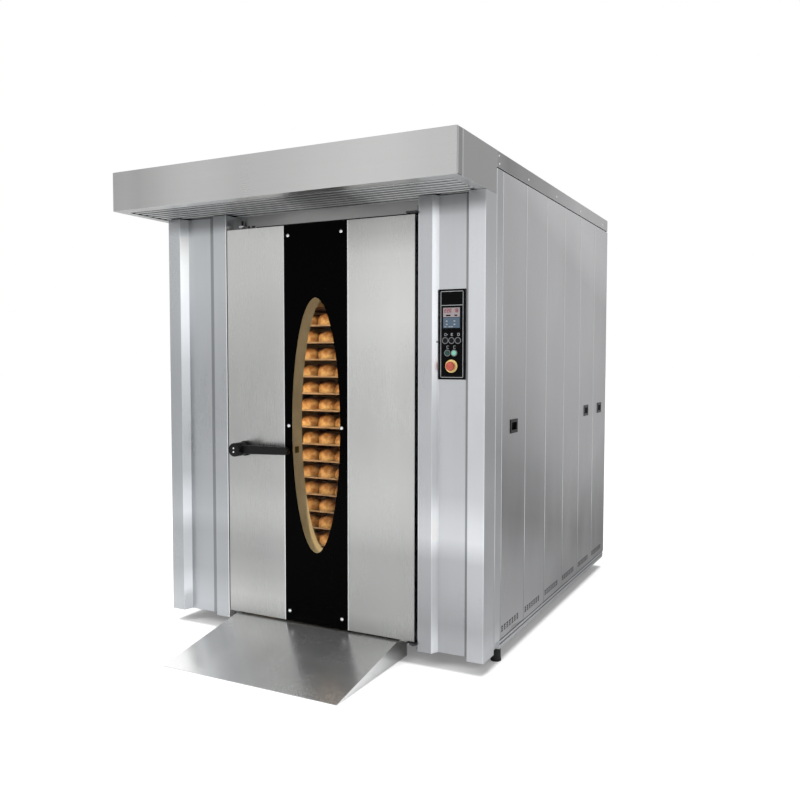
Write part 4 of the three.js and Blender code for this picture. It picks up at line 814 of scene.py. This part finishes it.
line = Shape()
x0, x1 = PLATE_LEFT + BORDER_INSET, PLATE_RIGHT - BORDER_INSET
z0, z1 = PLATE_FOOT + BORDER_INSET, PLATE_TOP - BORDER_INSET
for z in (z0, z1 - LINE_WIDTH):
    line.box((x0, LINE_FACE, z), (x1, PLATE_FACE, z + LINE_WIDTH))
for x in (x0, x1 - LINE_WIDTH):
    line.box((x, LINE_FACE, z0), (x + LINE_WIDTH, PLATE_FACE, z1))
line.make("panel_border", "bezel", "body")

display = Shape()
display.box((DISPLAY_LEFT, BEZEL_FACE, DISPLAY_FOOT), (DISPLAY_RIGHT, DISPLAY_FACE, DISPLAY_TOP))
display.make("display_bezel", "panel", "body")
x0, x1 = DISPLAY_LEFT + GLASS_INSET, DISPLAY_RIGHT - GLASS_INSET
for name, key, foot, top in (
    ("display_window", "screen", 1.606, 1.648), ("display_keys", "slate", DISPLAY_FOOT + GLASS_INSET, 1.604),
):
    Shape().box((x0, GLASS_FACE, foot), (x1, BEZEL_FACE, top)).make(name, key, "body")


def digit(shape, char, x):
    """A seven-segment figure on the display, whose left edge is at x."""
    w, h, t = FIGURE_WIDTH, FIGURE_HEIGHT, FIGURE_WIDTH * STROKE_SHARE
    bars = {
        "a": (0, h - t, w, h), "g": (0, h / 2 - t / 2, w, h / 2 + t / 2), "d": (0, 0, w, t),
        "f": (0, h / 2, t, h), "b": (w - t, h / 2, w, h), "e": (0, 0, t, h / 2), "c": (w - t, 0, w, h / 2),
    }
    for segment in SEGMENTS[char]:
        left, foot, right, top = bars[segment]
        shape.box((x + left, PRINT_FACE, FIGURE_FOOT + foot), (x + right, GLASS_FACE, FIGURE_FOOT + top))


figures = Shape()
for text, x in (("220", 0.6885), ("18", 0.7345)):
    for k, char in enumerate(text):
        digit(figures, char, x + k * FIGURE_PITCH)
figures.make("display_digits", "digit", "body")
small = Shape()
for x, width in ((0.6975, 0.022), (0.7385, 0.014)):
    small.box((x, PRINT_FACE, 1.6105), (x + width, GLASS_FACE, 1.6165))
small.make("display_bars", "panel", "body")
divider = Shape().box((PLATE_LEFT + 0.0095, LINE_FACE, 1.6575), (PLATE_RIGHT - 0.0095, PLATE_FACE, 1.6605))
divider.make("panel_divider", "bezel", "body")
keys = Shape()
for x in (0.701, 0.739):
    for z in (1.588, 1.5735):
        keys.box((x - 0.004, KEY_FACE, z - 0.0025), (x + 0.004, GLASS_FACE, z + 0.0025))
for x in (0.69, 0.7105, 0.722):
    keys.box((x, PRINT_FACE, 1.5615), (x + 0.009, GLASS_FACE, 1.5645))
keys.make("display_key_marks", "white", "body")

PROGRAM_X, PROGRAM_Z, PROGRAM_CROWN = (0.693, 0.724, 0.755), 1.501, (0.0322, 0.0324, 0.0332)
LAMP_X, START_X, KEY_Z, KEY_CROWN = 0.704, 0.737, 1.445, (0.0318, 0.0321, 0.033)
STOP_X, STOP_Z = 0.724, 1.386
CAP_FOOT, RING_FOOT = 0.0352, 0.0359

marks = Shape()
for x, z in ((0.6935, 1.528), (0.7245, 1.528), (0.7555, 1.528), (0.704, 1.4715), (0.737, 1.4715)):
    left, right, foot, top = x - MARK_HALF_X, x + MARK_HALF_X, z - MARK_HALF_Z, z + MARK_HALF_Z
    marks.box((left, MARK_FACE, foot), (right, PLATE_FACE, foot + MARK_STROKE))
    marks.box((left, MARK_FACE, top - MARK_STROKE), (right, PLATE_FACE, top))
    marks.box((left, MARK_FACE, foot), (left + MARK_STROKE, PLATE_FACE, top))
for left, right, foot, top in (
    (0.6985, 0.7035, 1.5265, 1.5295), (0.723, 0.726, 1.523, 1.533), (0.759, 0.762, 1.524, 1.532),
):
    marks.box((left, MARK_FACE, foot), (right, PLATE_FACE, top))
marks.make("button_marks", "white", "body")


def push_button(ring_name, cap_name, centre, crown, key, body):
    """A ring round a key and the cap on it. crown holds the cap's depths from its middle to its rim."""
    ring = Shape().lathe(
        "y", centre,
        [(0.0152, 0.0355), (0.0148, 0.0348), (0.0122, 0.0348), (0.0118, RING_FOOT), (0.0152, RING_FOOT)],
    )
    ring.make(ring_name, "ring", "body", smooth=True)
    middle, shoulder, rim = crown
    cap = Shape().lathe(
        "y", centre,
        [(0.0, middle), (0.0085, shoulder), (0.0102, rim), (0.0106, CAP_FOOT), (0.0, CAP_FOOT)], 36,
    )
    cap.make(cap_name, key, body, smooth=True)


for i, x in enumerate(PROGRAM_X, 1):
    names = (f"program_ring_{i}", f"program_cap_{i}")
    push_button(*names, (x, 0.0, PROGRAM_Z), PROGRAM_CROWN, "plastic", f"button_{i}")
push_button("lamp_ring", "lamp_cap", (LAMP_X, 0.0, KEY_Z), KEY_CROWN, "dark_green", "lamp_key")
push_button("start_ring", "start_cap", (START_X, 0.0, KEY_Z), KEY_CROWN, "green", "start_key")

stop_ring = Shape().lathe(
    "y", (STOP_X, 0.0, STOP_Z),
    [(0.0295, RING_FOOT), (0.0295, 0.0346), (0.0285, 0.034), (0.0145, 0.034), (0.0145, RING_FOOT),
     (0.0295, RING_FOOT)], 56,
)
stop_ring.make("stop_ring", "yellow", "body", smooth=True)
stop_head = Shape().lathe(
    "y", (STOP_X, 0.0, STOP_Z),
    [(0.0, 0.0116), (0.01, 0.0119), (0.0155, 0.0128), (0.0188, 0.0146), (0.0203, 0.0172), (0.0203, 0.0238),
     (0.0192, 0.0256), (0.015, 0.0262), (0.013, 0.0285), (0.0127, 0.062), (0.0, 0.062)], 56,
)
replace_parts(stop_head.make("stop_head", "red", "stop_key", smooth=True), "emergency_stop_button")
column_knob = Shape().dome("y", (0.652, 0.0375, 1.4955), 0.0042, -0.004)
column_knob.make("column_knob", "knob", "body", smooth=True)

# ---- sides: vents, screws, seams and feet ----
BAR_ROWS, BAR_PITCH, BAR_HALF, BAR_LAP = (1, 2), 0.00933, 0.0015, 0.0005
BAR_SIDES, BACK_SIDES, BACK_MARGIN = (0.8975, 0.9002), (0.8962, 0.8992), 0.0003
REAR_VENTS_X, REAR_SLOTS, REAR_SLOT_FOOT, REAR_SLOT_PITCH = (-0.45, 0.45), 9, 0.201, 0.026
REAR_SLOT_HALF, REAR_SLOT_HEIGHT = 0.15, 0.01

bars = Shape()
# Black plates behind the vent slots and the rear slots, as painted shadow inside them.
backs = Shape()
for side in (-1, 1):
    bar_x0, bar_x1 = sorted(side * x for x in BAR_SIDES)
    back_x0, back_x1 = sorted(side * x for x in BACK_SIDES)
    for panel in range(PANELS):
        for k in range(VENTS):
            y0 = PANEL_START + panel * PANEL_PITCH + VENT_START + k * VENT_PITCH
            y1 = y0 + VENT_WIDTH
            for row in BAR_ROWS:
                z = VENT_FOOT + BAR_PITCH * row
                bars.box((bar_x0, y0 - BAR_LAP, z - BAR_HALF), (bar_x1, y1 + BAR_LAP, z + BAR_HALF))
            backs.box(
                (back_x0, y0 + BACK_MARGIN, VENT_FOOT + BACK_MARGIN),
                (back_x1, y1 - BACK_MARGIN, VENT_FOOT + VENT_HEIGHT - BACK_MARGIN),
            )
bars.make("vent_bars", "side", "body")
for x in REAR_VENTS_X:
    for i in range(REAR_SLOTS):
        z = REAR_SLOT_FOOT + REAR_SLOT_PITCH * i
        reach = REAR_SLOT_HALF - BACK_MARGIN
        top = z + REAR_SLOT_HEIGHT - BACK_MARGIN
        backs.box((x - reach, BODY_BACK - 0.0035, z + BACK_MARGIN), (x + reach, BODY_BACK - 0.0015, top))
backs.make("vent_backs", "hole", "body")

REAR_SCREW_X = 0.872
rivets = Shape()
places = [(x, z) for x in (-REAR_SCREW_X, -0.45, 0.0, 0.45, REAR_SCREW_X) for z in (0.145, 2.235)]
places += [(x, z) for x in (-REAR_SCREW_X, REAR_SCREW_X) for z in (0.67, 1.19, 1.71)]
for x, z in places:
    rivets.dome("y", (x, BODY_BACK, z), 0.0065, 0.0028)
rivets.make("back_screws", "chrome", "body", smooth=True)

SEAM_FOOT, SEAM_TOP = 0.1125, 2.2665
FOLD_X0, FOLD_X1, FOLD_WIDTH = 0.8988, 0.9005, 0.0052
LINE_X0, LINE_X1 = 0.8975, 0.9001
POST_FOLD_Y0, POST_FOLD_Y1 = 0.1306, 0.135
# Bright strips at the panels' front edges are painted highlight, and dark lines beside the seams painted
# shadow.
seams = Shape()
lines = Shape()
for panel in range(PANELS):
    y = PANEL_START + panel * PANEL_PITCH
    seams.box((FOLD_X0, y, SEAM_FOOT), (FOLD_X1, y + FOLD_WIDTH, SEAM_TOP))
    if panel:
        lines.box((LINE_X0, y - 0.0032, SEAM_FOOT), (LINE_X1, y - 0.0008, SEAM_TOP))
seams.box((FOLD_X0, POST_FOLD_Y0, SEAM_FOOT), (FOLD_X1, POST_FOLD_Y1, SEAM_TOP))
seams.make("panel_bright_edges", "seam_highlight", "body", bevel=0.0006)
lines.make("panel_seam_lines", "seam", "body")

BASE_Y0, BASE_Y1 = 0.2135, 2.2345
# Dark lines along the base rail, as painted shadow under the panels and in the rail's groove.
base = Shape()
base.box((0.895, BASE_Y0, 0.1058), (0.8996, BASE_Y1, 0.1102))
base.box((0.896, BASE_Y0, 0.0872), (0.8992, BASE_Y1, 0.0892))
base.make("base_lines", "seam", "body")

# A dark strip on the canopy's right end, as painted shade, with bright strips at its edges as painted
# highlight.
end_strip = Shape().box((0.8998, -0.3135, 2.156), (0.9012, -0.263, 2.343))
end_strip.make("canopy_end_strip", "end_strip", "body", bevel=0.0004)
end_edges = Shape()
for y in (-0.3146, -0.264):
    end_edges.box((0.8996, y, 2.1545), (0.9016, y + 0.003, 2.3445))
end_edges.make("canopy_end_edges", "edge", "body", bevel=0.0005)

# The two foremost screws of the roof's edge are seen on the right only.
FRONT_SKIRT_SCREWS = ((0.155, 2.325), (0.162, 2.291))
SKIRT_SCREWS_Y, SKIRT_SCREW_Z = (0.573, 1.05, 1.55, 2.1), 2.3
SKIRT_SCREW, SKIRT_SCREW_HEIGHT = 0.0055, 0.0028
skirt = Shape()
for y, z in FRONT_SKIRT_SCREWS:
    skirt.dome("x", (BODY_SIDE, y, z), SKIRT_SCREW, SKIRT_SCREW_HEIGHT)
for y in SKIRT_SCREWS_Y:
    for side in (1, -1):
        skirt.dome("x", (side * BODY_SIDE, y, SKIRT_SCREW_Z), SKIRT_SCREW, side * SKIRT_SCREW_HEIGHT)
skirt.make("skirt_screws", "chrome", "body", smooth=True)

FEET, FOOT_TOP = ((0.8682, 0.2433), (0.7956, 2.211)), 0.0655
feet = Shape()
for x, y in FEET:
    for side in (-1, 1):
        feet.lathe(
            "z", (side * x, y, 0.0),
            [(0.0, 0.0), (0.0245, 0.0), (0.0255, 0.002), (0.0255, 0.01), (0.0228, 0.013), (0.0228, FOOT_TOP),
             (0.0, FOOT_TOP)], 32,
        )
feet.make("foot_covers", "foot", "body", smooth=True)

# ---- floor ----
FLOOR_HALF, FLOOR_DROP = 60.0, 0.0005
FLOOR_COLOUR, FLOOR_LIFT = (0.9, 0.9, 0.905), 0.54
# The oven's footprint, as (axis, centre, half size), and the dark rim of contact shadow round it.
FOOTPRINT, RIM_WIDTH, RIM_LIFT, RIM_TONE = ((X, 0.0, 0.872), (Y, 1.125, 1.088)), 0.034, 0.32, 0.82

ground = Net("floor_paint")
mottle = ground.noise((0.8, 0.8, 0.8), detail=4)
ground.shader.inputs["Roughness"].default_value = 0.9
ground.shader.inputs["Specular IOR Level"].default_value = 0.1
camera_ray = ground.add("LightPath")
parts = ground.split(ground.coords, "Object")
squares = []
for axis, centre, half in FOOTPRINT:
    shifted = ground.add("Math", {1: centre}, operation="SUBTRACT")
    ground.link(parts, axis, shifted, 0)
    away = ground.math("ABSOLUTE", shifted, 0.0)
    beyond = ground.math("MAXIMUM", ground.math("SUBTRACT", away, half), 0.0)
    squares.append(ground.math("MULTIPLY", beyond, beyond))
distance = ground.math("SQRT", ground.math("ADD", *squares), 0.0)
near = ground.span(distance, 0, RIM_LIFT, 1.0, 0.0, RIM_WIDTH, smooth=True)
lift = ground.math("MULTIPLY", ground.math("MULTIPLY", camera_ray, FLOOR_LIFT), near)
ground.link(lift, 0, ground.shader, "Emission Strength")
shade = ground.span(distance, 0, RIM_TONE, 1.0, 0.0, RIM_WIDTH, smooth=True)
floor_tone = ground.math("MULTIPLY", ground.span(mottle, 0, 0.985, 1.0), shade)
ground.link(ground.tint(FLOOR_COLOUR, floor_tone), 0, ground.shader, "Base Color")
ground.shader.inputs["Emission Color"].default_value = (1, 1, 1, 1)
floor_mesh = bpy.data.meshes.new("floor")
corners = [(x * FLOOR_HALF, y * FLOOR_HALF, 0) for x, y in ((-1, -1), (1, -1), (1, 1), (-1, 1))]
floor_mesh.from_pydata(corners, [], [(0, 1, 2, 3)])
floor_mesh.materials.append(ground.material)
floor = new_object("floor", floor_mesh)
floor.location.z = -FLOOR_DROP


# ---- surroundings ----
class WorldNet(Net):
    """The surroundings: white behind the object, and a soft room for the steel to mirror."""

    def __init__(self):
        world = bpy.data.worlds.new("studio")
        scene.world = world
        world.use_nodes = True
        self.tree = world.node_tree
        self.tree.nodes.clear()
        self.coords = self.add("TexCoord")

    def lobe(self, direction, power, strength):
        """A soft patch of light round a direction."""
        dot = self.dot("Generated", Vector(direction).normalized())
        near = self.add("Math", {1: 0.0}, operation="MAXIMUM")
        self.link(dot, "Value", near, 0)
        return self.math("MULTIPLY", self.math("POWER", near, power), strength)


FRONT_DIRECTION, WINDOW_DIRECTION = (0.1, -1.0, 0.05), (0.93, -0.36, 0.1)
LIGHT_TONE, BACKDROP_TONE = 0.62, 1.0

sky = WorldNet()
parts = sky.split(sky.coords, "Generated")
front_tone = sky.math("ADD", sky.lobe(FRONT_DIRECTION, 3.0, 0.72), 0.43)
side_tone = sky.span(parts, X, 1.0, 0.62, 0.0, 0.2, smooth=True)
behind = sky.span(parts, Y, 0.0, 1.0, -0.15, 0.35, smooth=True)
room = sky.blend(behind, front_tone, side_tone)
seen = sky.math("ADD", room, sky.lobe(WINDOW_DIRECTION, 12.0, 0.9))
rays = sky.add("LightPath")
mirrored = sky.add("Math", operation="MAXIMUM")
sky.link(rays, "Is Glossy Ray", mirrored, 0)
sky.link(rays, "Is Transmission Ray", mirrored, 1)
# The first output of rays is Is Camera Ray: the camera sees plain white.
strength = sky.blend(rays, sky.blend(mirrored, LIGHT_TONE, seen), BACKDROP_TONE)
background = sky.add("Background")
background.inputs["Color"].default_value = (1, 1, 1, 1)
sky.link(strength, 0, background, "Strength")
world_out = sky.add("OutputWorld")
sky.link(background, 0, world_out, 0)

# ---- lamps ----
WHITE, WARM, SOFT_WARM = (1, 1, 1), (1.0, 0.76, 0.48), (1.0, 0.78, 0.52)
TALL, WIDE = (0.05, 1.8), (0.7, 1.8)
LAMPS = (  # name, place, target, size, watts, colour
    ("key", (-2.2, -4.6, 5.2), (0.0, 0.4, 0.6), (3.5, 3.5), 190, WHITE),
    ("top", (0.4, 0.8, 6.5), (0.2, 0.6, 0.0), (5.0, 5.0), 210, WHITE),
    ("oven_left", (-0.515, 0.19, 1.1), (0.1, 0.62, 1.1), TALL, 6, WARM),
    ("oven_right", (0.565, 0.19, 1.1), (-0.1, 0.62, 1.1), TALL, 5, WARM),
    ("oven_front", (0.02, 0.15, 1.15), (0.02, 0.6, 1.08), WIDE, 4.5, SOFT_WARM),
)


def area(name, place, target, size, watts, colour):
    """A lamp that lights the object and is itself seen neither directly nor in the steel."""
    data = bpy.data.lights.new(name, "AREA")
    data.shape = "RECTANGLE"
    data.size, data.size_y = size
    data.energy = watts
    data.color = colour
    lamp = new_object(name, data)
    lamp.location = place
    lamp.rotation_euler = (Vector(target) - Vector(place)).to_track_quat("-Z", "Y").to_euler()
    lamp.visible_camera = False
    lamp.visible_glossy = False


for lamp in LAMPS:
    area(*lamp)

# ---- camera, solved from the photograph's corners ----
CAMERA_PLACE = (2.2016, -3.344, 1.4192)
CAMERA_TILT, CAMERA_ROLL, CAMERA_TURN = -2.883, -0.059, 27.2  # degrees

camera_data = bpy.data.cameras.new("camera")
camera_data.lens = 36.86
camera_data.sensor_width = 36.0
camera_data.clip_end = 200.0
camera = new_object("camera", camera_data)
camera.location = CAMERA_PLACE
camera.rotation_euler = [math.radians(angle) for angle in (90 + CAMERA_TILT, CAMERA_ROLL, CAMERA_TURN)]
scene.camera = camera
scene.view_settings.view_transform = "Standard"
